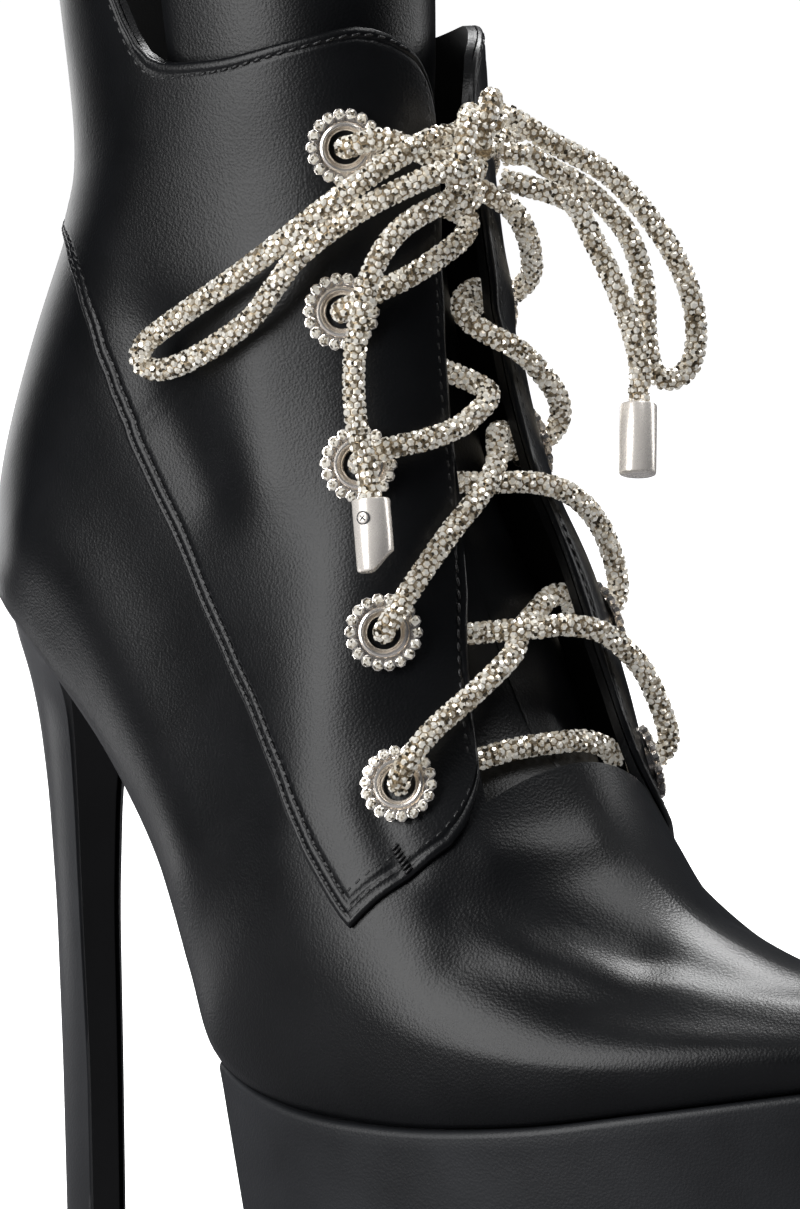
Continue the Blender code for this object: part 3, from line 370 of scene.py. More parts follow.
LACE_RUNS = {
    # from eyelet, to eyelet, then (side, s, t, height above the last)
    "low_a": (("lateral", 5), ("medial", 4), (
        (LATERAL, 7.48, 0.715, OVER_RIM), (LATERAL, 7.58, 0.77, 6.6), (LATERAL, 7.72, 0.86, 4.6),
        (LATERAL, 7.98, 0.95, 1.8), (LATERAL, 8.25, 1.0, -1.9), (MEDIAL, 8.5, 0.945, -4.2),
        (MEDIAL, 8.68, 0.90, INSIDE), (MEDIAL, 8.8, 0.85, INSIDE), (MEDIAL, 8.88, 0.79, INSIDE))),
    "low_b": (("medial", 5), ("lateral", 4), (
        (MEDIAL, 7.5, 0.70, OVER_RIM), (MEDIAL, 7.72, 0.745, 6.8), (MEDIAL, 7.95, 0.80, 5.6),
        (MEDIAL, 8.12, 0.88, 5.2), (MEDIAL, 8.2, 0.95, 4.6), (LATERAL, 8.22, 1.0, 3.3),
        (LATERAL, 8.28, 0.955, 0.2), (LATERAL, 8.36, 0.91, -4.4), (LATERAL, 8.5, 0.85, INSIDE))),
    "high_a": (("lateral", 4), ("medial", 3), (
        (LATERAL, 9.05, 0.785, OVER_RIM), (LATERAL, 9.3, 0.83, 6.8), (LATERAL, 9.6, 0.885, 5.2),
        (LATERAL, 9.92, 0.945, 4.8), (LATERAL, 10.25, 1.0, 2.6), (MEDIAL, 10.55, 0.965, -1.8),
        (MEDIAL, 10.72, 0.92, INSIDE), (MEDIAL, 10.8, 0.86, INSIDE))),
    "high_b": (("medial", 4), ("lateral", 3), (
        (MEDIAL, 9.1, 0.76, OVER_RIM), (MEDIAL, 9.45, 0.81, 6.8), (MEDIAL, 9.75, 0.87, 5.0),
        (MEDIAL, 9.95, 0.93, 2.4), (MEDIAL, 10.06, 1.0, -2.4), (LATERAL, 10.15, 0.962, -4.9),
        (LATERAL, 10.3, 0.92, -5.4), (LATERAL, 10.5, 0.86, -5.4))),
    "turn_lateral_low": (("lateral", 3), ("lateral", 2), (
        (LATERAL, 10.86, 0.825, OVER_RIM), (LATERAL, 10.78, 0.87, 6.8), (LATERAL, 10.78, 0.92, 5.1),
        (LATERAL, 10.9, 0.965, 4.4), (MEDIAL, 11.15, 0.99, 1.6), (MEDIAL, 11.4, 0.995, -2.6),
        (LATERAL, 11.7, 0.97, -5.2), (LATERAL, 12.1, 0.93, INSIDE), (LATERAL, 12.5, 0.88, INSIDE))),
    "turn_medial_low": (("medial", 3), ("medial", 2), (
        (MEDIAL, 11.0, 0.81, OVER_RIM), (MEDIAL, 11.2, 0.85, 6.8), (MEDIAL, 11.5, 0.90, 5.2),
        (MEDIAL, 11.8, 0.945, 4.6), (MEDIAL, 12.1, 0.978, 1.4), (MEDIAL, 12.4, 0.982, -3.0),
        (MEDIAL, 12.7, 0.96, -5.4), (MEDIAL, 12.95, 0.91, -5.4), (MEDIAL, 13.1, 0.85, INSIDE))),
    "turn_lateral_high": (("lateral", 2), ("lateral", 1), (
        (LATERAL, 13.26, 0.875, OVER_RIM), (LATERAL, 13.4, 0.915, 6.6), (LATERAL, 13.75, 0.96, 5.0),
        (LATERAL, 14.15, 0.995, 4.2), (MEDIAL, 14.65, 0.985, 0.6), (MEDIAL, 15.0, 0.987, -3.6),
        (LATERAL, 15.5, 0.985, -5.4), (LATERAL, 16.2, 0.95, INSIDE), (LATERAL, 16.5, 0.90, INSIDE))),
    "turn_medial_high": (("medial", 2), ("medial", 1), (
        (MEDIAL, 13.4, 0.84, OVER_RIM), (MEDIAL, 13.8, 0.88, 6.8), (MEDIAL, 14.4, 0.91, 6.2),
        (MEDIAL, 14.9, 0.94, 5.6), (MEDIAL, 15.3, 0.97, 4.0), (MEDIAL, 15.65, 0.985, 0.4),
        (MEDIAL, 16.0, 0.985, -3.6), (MEDIAL, 16.35, 0.96, -5.6), (MEDIAL, 16.7, 0.91, -5.2))),
    "lead_lateral": (("lateral", 1), None, (
        (LATERAL, 16.75, 0.90, OVER_RIM), (LATERAL, 16.4, 0.935, 6.2))),
    "lead_medial": (("medial", 1), None, (
        (MEDIAL, 16.75, 0.87, OVER_RIM), (MEDIAL, 16.6, 0.91, 6.4))),
}
BOTTOM_BAR = ((LATERAL, 7.35, 0.72, INSIDE), (LATERAL, 7.2, 0.80, -4.8), (LATERAL, 7.1, 0.90, -4.6),
              (LATERAL, 7.06, 1.0, -4.5), (MEDIAL, 7.1, 0.90, -4.6), (MEDIAL, 7.2, 0.80, -4.8),
              (MEDIAL, 7.35, 0.72, INSIDE))
LACE_PIECES = {
    # piece, runs in it, node that it stands for
    "rope_cross_low": (("low_a", "low_b"), "lace_cross_low"),
    "rope_cross_high": (("high_a", "high_b"), "lace_cross_high"),
    "rope_turn_lateral_low": (("turn_lateral_low",), "lace_turn_lateral_low"),
    "rope_turn_medial_low": (("turn_medial_low",), "lace_turn_medial_low"),
    "rope_turn_lateral_high": (("turn_lateral_high",), "lace_turn_lateral_high"),
    "rope_turn_medial_high": (("turn_medial_high",), "lace_turn_medial_high"),
    "rope_lead_lateral": (("lead_lateral",), "lace_lead_lateral"),
    "rope_lead_medial": (("lead_medial",), "lace_lead_medial"),
}

# Bow
KNOT_CENTRE = np.array((133.2, 0.0, 252.0))
KNOT_HALF = np.array((4.6, 4.7, 11.0))
CORD_REACH = 5.0
LEAD_REACH = 1.5
KNOT_GAP = 0.95
KNOT_JOINS = {
    # x, y, z for each end that meets the knot, in shares of its half sizes
    "lead_lateral": ((-0.62, -0.74, -0.26),),
    "lead_medial": ((-0.55, 0.83, -0.05),),
    "lace_loop_lateral": ((-0.15, -0.92, 0.22), (0.50, -0.80, -0.28)),
    "lace_loop_medial": ((-0.10, 0.84, 0.42), (0.50, 0.84, -0.12)),
    "lace_end_lateral": ((0.25, -0.62, -0.72),),
    "lace_end_medial": ((0.58, 0.58, -0.56),),
}
CORD_ROUTES = {
    # x, y, z
    "lace_loop_lateral": (
        (131.6, -16.2, 254.0), (128.4, -24.6, 249.6), (119.0, -31.4, 241.4), (100.0, -35.9, 227.4),
        (83.0, -38.6, 216.4), (75.0, -39.2, 210.8), (74.0, -39.0, 206.8), (80.0, -38.6, 206.0),
        (90.0, -37.6, 210.0), (101.5, -35.8, 217.5), (107.5, -34.4, 224.8), (112.5, -33.2, 230.8),
        (120.0, -30.6, 237.0), (128.5, -25.8, 243.0), (136.8, -15.2, 248.6)),
    "lace_loop_medial": (
        (138.0, 16.5, 252.6), (144.2, 27.2, 245.8), (148.8, 35.4, 236.4), (152.2, 41.6, 225.8),
        (153.8, 44.6, 215.6), (153.6, 44.4, 206.6), (151.8, 40.8, 202.4), (149.6, 36.6, 203.8),
        (148.6, 35.0, 211.0), (148.4, 34.4, 222.0), (147.0, 31.4, 232.2), (144.2, 26.4, 239.2),
        (142.0, 20.5, 244.0), (140.6, 13.0, 247.6)),
    "lace_end_lateral": (
        (135.4, -12.6, 242.2), (131.4, -23.2, 236.8), (130.0, -30.7, 227.6), (128.9, -34.0, 213.5),
        (128.9, -34.2, 200.5), (132.3, -35.0, 190.3), (133.97, -35.33, 183.92)),
    "lace_end_medial": (
        (142.8, 11.4, 242.6), (145.2, 16.0, 239.8), (147.2, 19.2, 233.0), (150.0, 23.5, 222.5),
        (151.5, 26.7, 213.5), (152.1, 28.5, 206.5), (152.3, 28.2, 202.5), (152.65, 27.6, 199.6)),
}
KNOT_FORWARD = 3.6
KNOT_LEAN = 0.1
KNOT_TURN = 0.94
KNOT_PITCH = 0.35
KNOT_WRAPS = (
    # shift to the right, shift up, half height, half depth
    (-3.4, -0.6, 8.0, 9.6),
    (0.6, 6.4, 4.2, 4.0),
)
AGLETS = {
    # start, end
    "aglet_lateral": ((134.1, -35.4, 183.3), (137.1, -37.1, 168.9)),
    "aglet_medial": ((152.95, 27.1, 198.3), (156.2, 22.9, 184.3)),
}
AGLET_RADIUS = 3.9
AGLET_CUT = 3.7
AGLET_CUT_FROM = 0.7
AGLET_FLAT = 0.35
AGLET_SIDES = 48
AGLET_MOUTH = (
    # radius, distance from the mouth
    (2.55, 1.4), (2.6, 0.5), (3.0, 0.1), (3.5, 0.0), (3.78, 0.15), (AGLET_RADIUS, 0.5),
)
AGLET_END = (
    # radius, distance from the end
    (AGLET_RADIUS, 0.55), (3.75, 0.15), (3.4, 0.0), (1.6, 0.0),
)
SCREW_RADIUS = 1.15
SCREW_TURN = 0.48
SCREW_ALONG = 0.27
# Seat ring round the screw head, which takes the black lacquer as painted shade
SCREW_SEAT = ((SCREW_RADIUS + 0.3, -0.4), (SCREW_RADIUS + 0.3, 0.04), (SCREW_RADIUS, 0.05))
SCREW_HEAD = ((SCREW_RADIUS, -0.3), (SCREW_RADIUS, 0.14), (SCREW_RADIUS * 0.86, 0.24), (0.25, 0.26))
SLOT_LONG = 0.72
SLOT_WIDE = 0.15
SLOT_HEIGHTS = (0.1, 0.3)

# Camera of the photograph: turn and rise in degrees, distance, scale and where the target lies in the frame
PHOTO_WIDE = 800
PHOTO_HIGH = 1209
CAMERA_TURN = 40.0
CAMERA_RISE = 10.0
CAMERA_FAR = 1400.0
CAMERA_TARGET = (155.0, 0.0, 121.0)
TARGET_PIXEL = (562.0, 790.0)
PIXELS_PER_MM = 4.85
SENSOR = 36.0
CAMERA_CLIP = (0.05, 60.0)
PHOTO_TURN = math.radians(CAMERA_TURN)
PHOTO_RIGHT = np.array((math.cos(PHOTO_TURN), math.sin(PHOTO_TURN), 0.0))
PHOTO_OUT = np.array((math.sin(PHOTO_TURN), -math.cos(PHOTO_TURN), 0.0))

# Stage: floor, surroundings and lights, in metres
WHITE = (1.0, 1.0, 1.0, 1.0)
DIM_SKY = (0.8, 0.86, 1.0, 1.0)
DIM_LIGHT = 0.05
FLOOR_HALF = 14.0
FLOOR_STEPS = 8
FLOOR_LEVEL = -0.0004
FLOOR_GLOW = 1.0
# Floor card seen by every ray but the camera's: lighter near the boot as a painted pool of light, darker far
# off
FLOOR_PAINTED_POOL = (0.2, 0.2, 0.21)
FLOOR_FAR = (0.07, 0.07, 0.075)
FLOOR_FADE = (0.42, 0.85)
LIGHTS = (
    # name, turn from the camera, rise, distance, width, height, radiance
    ("strip_low_back", -119.0, -13.0, 0.4, 0.10, 0.04, 2.4),
    ("softbox_left", -57.5, 18.0, 0.95, 0.48, 1.0, 7.1),
    ("panel_left_back", -150.0, 4.0, 0.7, 0.26, 0.3, 2.0),
    ("softbox_over_back", 172.0, 58.0, 1.2, 0.6, 0.5, 17.0),
    ("strip_right_back", 112.0, 16.0, 1.3, 0.35, 0.9, 4.2),
    ("softbox_over_right", 62.0, 70.0, 1.15, 0.5, 0.5, 6.0),
)


class BootieSizes(bpy.types.PropertyGroup):
    """Sizes that a user would change."""
    wall: FloatProperty(name="Wall", description="Thickness of the upper", default=WALL * MM,
                        unit="LENGTH")
    quarter: FloatProperty(name="Quarter", description="Thickness of the overlaid quarters",
                           default=QUARTER * MM, unit="LENGTH")
    grain: FloatProperty(name="Grain", description="Size of the leather's pebble grain",
                         default=GRAIN * MM, unit="LENGTH")
    stones_around: IntProperty(name="Stones around", description="Stones in one turn of the rope",
                               default=STONES_AROUND, min=6, max=20)
    cups: IntProperty(name="Cups", description="Stone cups round one eyelet", default=CUPS, min=8, max=40)


class BootieColours(bpy.types.PropertyGroup):
    """Colours that a user would change."""
    leather: FloatVectorProperty(name="Leather", description="Dyed leather", subtype="COLOR", size=3,
                                 default=(0.0042, 0.0045, 0.0052))
    lining: FloatVectorProperty(name="Lining", description="Inside of the boot", subtype="COLOR", size=3,
                                default=(0.012, 0.012, 0.012))
    sole: FloatVectorProperty(name="Sole", description="Tread and top piece", subtype="COLOR", size=3,
                              default=(0.012, 0.012, 0.012))
    nickel: FloatVectorProperty(name="Nickel", description="Grommets, cups and end caps", subtype="COLOR",
                                size=3, default=(0.99, 0.93, 0.86))
    net: FloatVectorProperty(name="Net", description="Rope under the stones", subtype="COLOR", size=3,
                             default=(0.36, 0.275, 0.17))
    floor: FloatVectorProperty(name="Floor", description="Studio floor", subtype="COLOR", size=3,
                               default=(0.86, 0.86, 0.86))


# Shape of the last

def smooth(value):
    """Ease from 0 to 1 with flat ends."""
    x = np.clip(value, 0.0, 1.0)
    return x * x * (3.0 - 2.0 * x)


def unit(vectors):
    """Vectors of length one."""
    vectors = np.asarray(vectors, float)
    return vectors / np.maximum(np.linalg.norm(vectors, axis=-1, keepdims=True), 1e-12)


def last_rows(s):
    """Millimetre sizes of the sections at s, by a smooth curve through the rows of LAST."""
    half = BALL_WIDTH / 2
    scale = np.array([LENGTH, HEEL_SEAT - PLATFORM, LENGTH, TOP_HEIGHT] + [half] * 4 + [1.0] * 5)
    rows = np.array([row[1:] for row in LAST]) * scale
    rows[:, 1] += PLATFORM
    rows = np.vstack([2 * rows[0] - rows[1], rows, 2 * rows[-1] - rows[-2]])
    place = np.clip(s, 0.0, len(LAST) - 1 - 1e-9)
    index = place.astype(int)
    x = (place - index)[:, None]
    before, start, end, after = (rows[index + k] for k in range(4))
    leave = (end - before) / 2
    arrive = (after - start) / 2
    made = (start * (2 * x**3 - 3 * x**2 + 1) + leave * (x**3 - 2 * x**2 + x)
            + end * (3 * x**2 - 2 * x**3) + arrive * (x**3 - x**2))
    made[:, 4:8] = np.maximum(made[:, 4:8], 0.0)
    return made


def soften_corner(points, s, t):
    """Points with the turn from the seat to the heel's back rounded off, away from the sole edge."""
    reach = int(2.5 * CORNER_SOFT / S_STEP)
    weights = np.exp(-0.5 * (np.arange(-reach, reach + 1) * S_STEP / CORNER_SOFT) ** 2)
    padded = np.concatenate([np.repeat(points[:1], reach, 0), points, np.repeat(points[-1:], reach, 0)])
    soft = sum(w * padded[k:k + len(points)] for k, w in enumerate(weights / weights.sum()))
    start, end = CORNER_SPAN
    share = smooth((s - start) / CORNER_FADE) * smooth((end - s) / CORNER_FADE)
    return points + (share[:, None] * smooth(t / CORNER_EDGE)[None])[..., None] * (soft - points)


def last_table(side):
    """Points, outward directions and girths of one side of the last, on an even grid of s and t."""
    s = np.arange(0.0, len(LAST) - 1 + S_STEP / 2, S_STEP)
    sizes = last_rows(s).T[:, :, None]
    bx, bz, tx, tz, wide_l, wide_m, sole_l, sole_m, skew, belly, low, high_l, high_m = sizes
    wide, sole, high = (wide_l, sole_l, high_l) if side == LATERAL else (wide_m, sole_m, high_m)
    angle = np.linspace(0.0, math.pi / 2, SECTION_POINTS + 1)
    up = np.sin(angle)[None]
    over = np.clip(np.cos(angle), 0.0, 1.0)[None]
    width = np.concatenate([sole + (wide - sole) * up ** (2 / low), (wide * over ** (2 / high))[:, 1:]], 1)
    rise = np.concatenate([belly * (1 - over ** (2 / low)),
                           (belly + (1 - belly) * up ** (2 / high))[:, 1:]], 1)
    y = side * width
    raw = np.stack([bx + (tx - bx) * rise + skew * y, y, bz + (tz - bz) * rise], -1)
    t = np.linspace(0.0, 1.0, T_COUNT)
    points = np.empty((len(s), T_COUNT, 3))
    girth = np.empty(len(s))
    for i, section in enumerate(raw):
        along = np.r_[0.0, np.cumsum(np.linalg.norm(np.diff(section, axis=0), axis=1))]
        girth[i] = along[-1]
        for axis in range(3):
            points[i, :, axis] = np.interp(t * along[-1], along, section[:, axis])
    points = soften_corner(points, s, t)
    normals = -side * np.cross(np.gradient(points, axis=1), np.gradient(points, axis=0))
    normals[:, -1, 1] = 0.0
    normals[s >= CORNER, 0, 1] = 0.0
    normals = unit(normals)
    level = np.maximum(s, S_THROAT)
    gap = np.interp(level, THROAT[:, 0], THROAT[:, 1 if side == LATERAL else 2])
    edge = np.empty(len(s))
    first = int(round(S_THROAT / S_STEP))
    for i in range(len(s)):
        line = points[max(i, first)]
        top = slice(int(np.abs(line[:, 1]).argmax()), None)
        edge[i] = np.interp(-gap[i], -np.abs(line[top, 1]), t[top])
    return {"s": s, "points": points, "normals": normals, "girth": girth, "edge": edge}


TABLES = {side: last_table(side) for side in SIDES.values()}


def read_grid(grid, s, t):
    """Values between the places of an even grid of s and t."""
    i = np.clip(np.asarray(s, float) / S_STEP, 0, grid.shape[0] - 1.001)
    j = np.clip(np.asarray(t, float) * (T_COUNT - 1), 0, T_COUNT - 1.001)
    a, b = i.astype(int), j.astype(int)
    u, v = (i - a)[..., None], (j - b)[..., None]
    return ((grid[a, b] * (1 - u) + grid[a + 1, b] * u) * (1 - v)
            + (grid[a, b + 1] * (1 - u) + grid[a + 1, b + 1] * u) * v)


def read_row(name, s, side):
    """A value of the last that depends on s alone, such as its girth or the t of the flap's edge."""
    return np.interp(s, TABLES[side]["s"], TABLES[side][name])


def last_point(s, t, side):
    """Points on the last."""
    return read_grid(TABLES[side]["points"], s, t)


def last_normal(s, t, side):
    """Outward directions of the last."""
    normals = unit(read_grid(TABLES[side]["normals"], s, t))
    normals[..., 1] = np.where(np.asarray(t) >= 1.0, 0.0, normals[..., 1])
    return normals


def crease(points, side):
    """Height of the listed creases at points of the last."""
    flat = points.reshape(-1, 3)
    total = np.zeros(len(flat))
    for crease_side, height, width, places in CREASES:
        s, t = np.array(places).T
        line = curve_through(last_point(s, t, crease_side), width / 3)
        away = np.full(len(flat), 1e9)
        for point in line:
            away = np.minimum(away, ((flat - point) ** 2).sum(1))
        if crease_side != side:
            away = away + (2 * flat[:, 1]) ** 2
        total += height * np.exp(-away / width**2)
    return total.reshape(points.shape[:-1])


def skin(s, t, side, height):
    """Points at a height above the leather's outer face, with the flap's flare and the creases."""
    s, t = np.broadcast_arrays(np.asarray(s, float), np.asarray(t, float))
    edge = read_row("edge", s, side)
    near = smooth((np.minimum(t, edge) / edge - FLARE_NEAR) / (1 - FLARE_NEAR))
    lift = FLARE[side] * smooth((s - FLARE_START) / FLARE_RISE) * near
    points = last_point(s, t, side)
    lift = lift + crease(points, side) + height
    return points + lift[..., None] * last_normal(s, t, side)


def soft_read(x, table, width):
    """Second column of a table at x, with its corners rounded over a width of x."""
    spread = np.linspace(-width / 2, width / 2, 9)
    return np.mean([np.interp(x + d, table[:, 0], table[:, 1]) for d in spread], axis=0)


def rear_seam(s):
    """t of the quarter's rear seam."""
    start, fade = SEAM_CLOSE
    seam = soft_read(s, REAR_SEAM, SEAM_SOFT) * smooth((start - s) / fade)
    return np.where(s >= REAR_SEAM[-1, 0], 0.0, seam)


def corner_drop(across, start):
    """Share of a rounded corner's drop, as a quarter of an ellipse that ends at the throat."""
    turned = np.clip((across - start) / (1 - start), 0.0, 1.0)
    return 1 - np.sqrt(1 - turned**2)


def quarter_place(share, across, side, corner=0.0):
    """(s, t) on the quarter; share runs from the hem to the collar, across from the rear seam to the throat."""
    low = np.interp(across, HEM[:, 0], HEM[:, 1]) + corner * corner_drop(across, FLAP_TURN)
    high = soft_read(across, COLLAR, COLLAR_SOFT) - COLLAR_CORNER * corner_drop(across, COLLAR_TURN)
    s = low + share * (high - low)
    rear = rear_seam(s)
    return s, rear + across * (read_row("edge", s, side) - rear)


def quarter_width(share, side):
    """Length across the quarter at a share of its height."""
    s = SEAM_LOW + share * (SEAM_HIGH - SEAM_LOW)
    return (read_row("edge", s, side) - rear_seam(s)) * read_row("girth", s, side)


def edge_spaced(length, middle):
    """Shares of a length that are close together at both ends."""
    steps = np.array(EDGE_STEPS) / length
    inner = np.linspace(steps[-1], 1 - steps[-1], middle + 2)[1:-1]
    return np.r_[steps, inner, 1 - steps[::-1]]


# Meshes

def to_row(points):
    """Millimetres of the maker's frame as metres of the part's frame."""
    return (np.asarray(points, float) - ORIGIN) * MM


def curve_through(points, spacing):
    """Smooth curve through given points, read off at an even spacing."""
    points = np.asarray(points, float)
    padded = np.vstack([2 * points[0] - points[1], points, 2 * points[-1] - points[-2]])
    fine = []
    for before, start, end, after in zip(padded, padded[1:], padded[2:], padded[3:]):
        for x in np.linspace(0, 1, 16, endpoint=False):
            fine.append(0.5 * (2 * start + (end - before) * x
                               + (2 * before - 5 * start + 4 * end - after) * x**2
                               + (3 * start - before - 3 * end + after) * x**3))
    fine = np.array(fine + [points[-1]])
    along = np.r_[0, np.cumsum(np.linalg.norm(np.diff(fine, axis=0), axis=1))]
    steps = np.linspace(0, along[-1], max(2, round(along[-1] / spacing)) + 1)
    return np.c_[tuple(np.interp(steps, along, fine[:, axis]) for axis in range(3))]


def grid_faces(rows, columns, start=0, is_ring=False):
    """Four-sided faces of a grid of points, as an array."""
    index = start + np.arange(rows * columns).reshape(rows, columns)
    if is_ring:
        index = np.c_[index, index[:, :1]]
    return np.stack([index[:-1, :-1], index[:-1, 1:], index[1:, 1:], index[1:, :-1]], -1).reshape(-1, 4)


def add_piece(name, points, faces, materials, slot, replaces=(), picks=None, sharp=40.0, values=None):
    """Mesh object from points in millimetres, riding on the part."""
    mesh = bpy.data.meshes.new(name)
    mesh.from_pydata(to_row(points).tolist(), [], [list(face) for face in faces])
    for material in materials:
        mesh.materials.append(material)
    if picks is not None:
        mesh.polygons.foreach_set("material_index", np.asarray(picks, np.int32))
    if values is not None:
        # Painted glint value of each face, which the stone material turns into dark or bright painted facets
        attribute = mesh.attributes.new("painted_glint", "FLOAT", "FACE")
        attribute.data.foreach_set("value", np.asarray(values, np.float32))
    mesh.polygons.foreach_set("use_smooth", np.full(len(mesh.polygons), sharp > 0.0))
    mesh.validate()
    if sharp > 0.0:
        mesh.set_sharp_from_angle(angle=math.radians(sharp))
    item = bpy.data.objects.new(name, mesh)
    bpy.context.scene.collection.objects.link(item)
    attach(item, "root")
    if replaces:
        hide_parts(*replaces)
    return item


def sheet_solid(patches):
    """Points, faces and layer of each face of a closed sheet; patches that share outer points are welded."""
    outer = np.concatenate([a.reshape(-1, 3) for a, _ in patches])
    inner = np.concatenate([b.reshape(-1, 3) for _, b in patches])
    _, first, number = np.unique(np.round(outer, 3) + 0.0, axis=0, return_index=True, return_inverse=True)
    number = number.reshape(-1)
    faces, uses, start = [], {}, 0
    for grid, _ in patches:
        rows, columns = grid.shape[:2]
        for square in number[grid_faces(rows, columns, start)].tolist():
            corners = list(dict.fromkeys(square))
            if len(corners) > 2:
                faces.append(corners)
                for place, corner in enumerate(corners):
                    edge = (corners[place - 1], corner)
                    uses.setdefault(frozenset(edge), []).append(edge)
        start += rows * columns
    total = len(first)
    rim = [(b, a, a + total, b + total) for (a, b), *more in uses.values() if not more]
    inside = [[c + total for c in reversed(face)] for face in faces]
    layers = [0] * len(faces) + [1] * len(inside) + [2] * len(rim)
    return np.concatenate([outer[first], inner[first]]), faces + inside + rim, layers


def add_solid(name, shape, materials, slot, node, sharp, picks=None):
    """Closed piece that stands for a node."""
    points, faces = shape
    return add_piece(name, points, flip_out(points, faces), materials, slot, (node,), picks, sharp)


def add_leather(name, patches, node, sharp):
    """Leather sheet, lined inside, that stands for a node."""
    points, faces, layers = sheet_solid(patches)
    materials = finishes()
    return add_solid(name, (points, faces), (materials["boot_leather"], materials["lining_leather"]),
                     "leather", node, sharp, [layer % 2 for layer in layers])


def loft(rings):
    """Points and faces of a closed solid through rings of equal length."""
    rings = np.asarray(rings)
    count, around = rings.shape[:2]
    points = np.concatenate([rings.reshape(-1, 3), [rings[0].mean(axis=0)], [rings[-1].mean(axis=0)]])
    faces = grid_faces(count, around, 0, True).tolist()
    low, high = count * around, count * around + 1
    for c in range(around):
        d = (c + 1) % around
        faces.append([d, c, low])
        faces.append([(count - 1) * around + c, (count - 1) * around + d, high])
    return points, faces


def turn_frames(route):
    """Direction, across and lift along a route, without twist."""
    ahead = unit(np.gradient(route, axis=0))
    across = np.empty_like(ahead)
    now = np.cross(ahead[0], FRAME_START)
    for k, direction in enumerate(ahead):
        now = now - direction * (now @ direction)
        now = now / np.linalg.norm(now)
        across[k] = now
    return ahead, across, np.cross(ahead, across)


def flip_out(points, faces):
    """Faces turned so that a closed mesh has a positive volume."""
    total = 0.0
    for face in faces:
        a = points[face[0]]
        for b, c in zip(face[1:], face[2:]):
            total += a @ np.cross(points[b], points[c])
    return [list(reversed(face)) for face in faces] if total < 0 else faces


class Joined:
    """Many shapes joined in one mesh, with a material and a painted glint value for each face."""

    def __init__(self):
        self.points, self.faces, self.picks, self.values = [], [], [], []
        self.total = 0

    def add(self, points, faces, pick=0, values=None):
        """One more shape, whose faces count from its own first point."""
        self.points.append(points)
        self.faces += [[c + self.total for c in face] for face in faces]
        self.picks += [pick] * len(faces)
        self.values += [PLAIN_FACET] * len(faces) if values is None else list(values)
        self.total += len(points)

    def add_loft(self, rings, pick=0):
        """One more closed solid through rings."""
        points, faces = loft(rings)
        self.add(points, flip_out(points, faces), pick)

    def mesh(self):
        """Points and faces of all the shapes."""
        return np.concatenate(self.points), self.faces


# Materials

def new_material(name):
    """Empty node material: its nodes, links and Principled shader."""
    material = bpy.data.materials.new(name)
    material.use_nodes = True
    nodes, links = material.node_tree.nodes, material.node_tree.links
    return nodes, links, nodes["Principled BSDF"]


def own_space(nodes):
    """Places in an object's own space."""
    return nodes.new("ShaderNodeTexCoord").outputs["Object"]


def set_sockets(shader, values):
    """Plain values on a shader's own sockets."""
    for name, value in values.items():
        shader.inputs[name].default_value = value


def scaled(colour, share):
    """A darker or lighter shade of a colour."""
    return tuple(share * c for c in colour)


def mix_by_sight(nodes, links, unseen, seen, output):
    """One shader for what the camera sees directly, and another for every other ray."""
    mix = nodes.new("ShaderNodeMixShader")
    links.new(nodes.new("ShaderNodeLightPath").outputs["Is Camera Ray"], mix.inputs[0])
    links.new(unseen, mix.inputs[1])
    links.new(seen, mix.inputs[2])
    links.new(mix.outputs["Shader"], nodes[output].inputs["Surface"])


def colour_between(nodes, links, factor, low, high, start=0.0, end=1.0):
    """Colour ramp between two colours."""
    ramp = nodes.new("ShaderNodeValToRGB")
    ramp.color_ramp.elements[0].position = start
    ramp.color_ramp.elements[1].position = end
    ramp.color_ramp.elements[0].color = (*low, 1.0)
    ramp.color_ramp.elements[1].color = (*high, 1.0)
    links.new(factor, ramp.inputs["Fac"])
    return ramp.outputs["Color"]


def noise(nodes, links, place, scale, detail=3.0):
    """Noise of a size in the part's own space."""
    texture = nodes.new("ShaderNodeTexNoise")
    texture.inputs["Scale"].default_value = scale
    texture.inputs["Detail"].default_value = detail
    links.new(place, texture.inputs["Vector"])
    return texture.outputs["Fac"]


def bump(nodes, links, height, strength, distance, under=None):
    """Bump node, on top of another one where there is one."""
    node = nodes.new("ShaderNodeBump")
    node.inputs["Strength"].default_value = strength
    node.inputs["Distance"].default_value = distance
    links.new(height, node.inputs["Height"])
    if under is not None:
        links.new(under, node.inputs["Normal"])
    return node.outputs["Normal"]


def grained_leather(name, colour, grain, rough_low, rough_high, strength, coat=0.06, specular=0.26):
    """Dyed leather: pebble grain, soft cloudiness and a thin finish coat."""
    nodes, links, shader = new_material(name)
    place = own_space(nodes)
    cloud = noise(nodes, links, place, 45.0)
    pebbles = nodes.new("ShaderNodeTexVoronoi")
    pebbles.feature = "SMOOTH_F1"
    pebbles.inputs["Scale"].default_value = 1.0 / grain
    pebbles.inputs["Smoothness"].default_value = 0.6
    links.new(place, pebbles.inputs["Vector"])
    pores = noise(nodes, links, place, 1.6 / grain, 3.0)
    lifted = bump(nodes, links, pebbles.outputs["Distance"], strength, 0.0003)
    lifted = bump(nodes, links, pores, strength * 0.5, 0.0002, lifted)
    links.new(colour_between(nodes, links, cloud, scaled(colour, 0.75), scaled(colour, 1.35), 0.3, 0.7),
              shader.inputs["Base Color"])
    links.new(colour_between(nodes, links, cloud, (rough_low,) * 3, (rough_high,) * 3, 0.3, 0.7),
              shader.inputs["Roughness"])
    links.new(lifted, shader.inputs["Normal"])
    set_sockets(shader, {"Specular IOR Level": specular, "Coat Weight": coat, "Coat Roughness": 0.3})


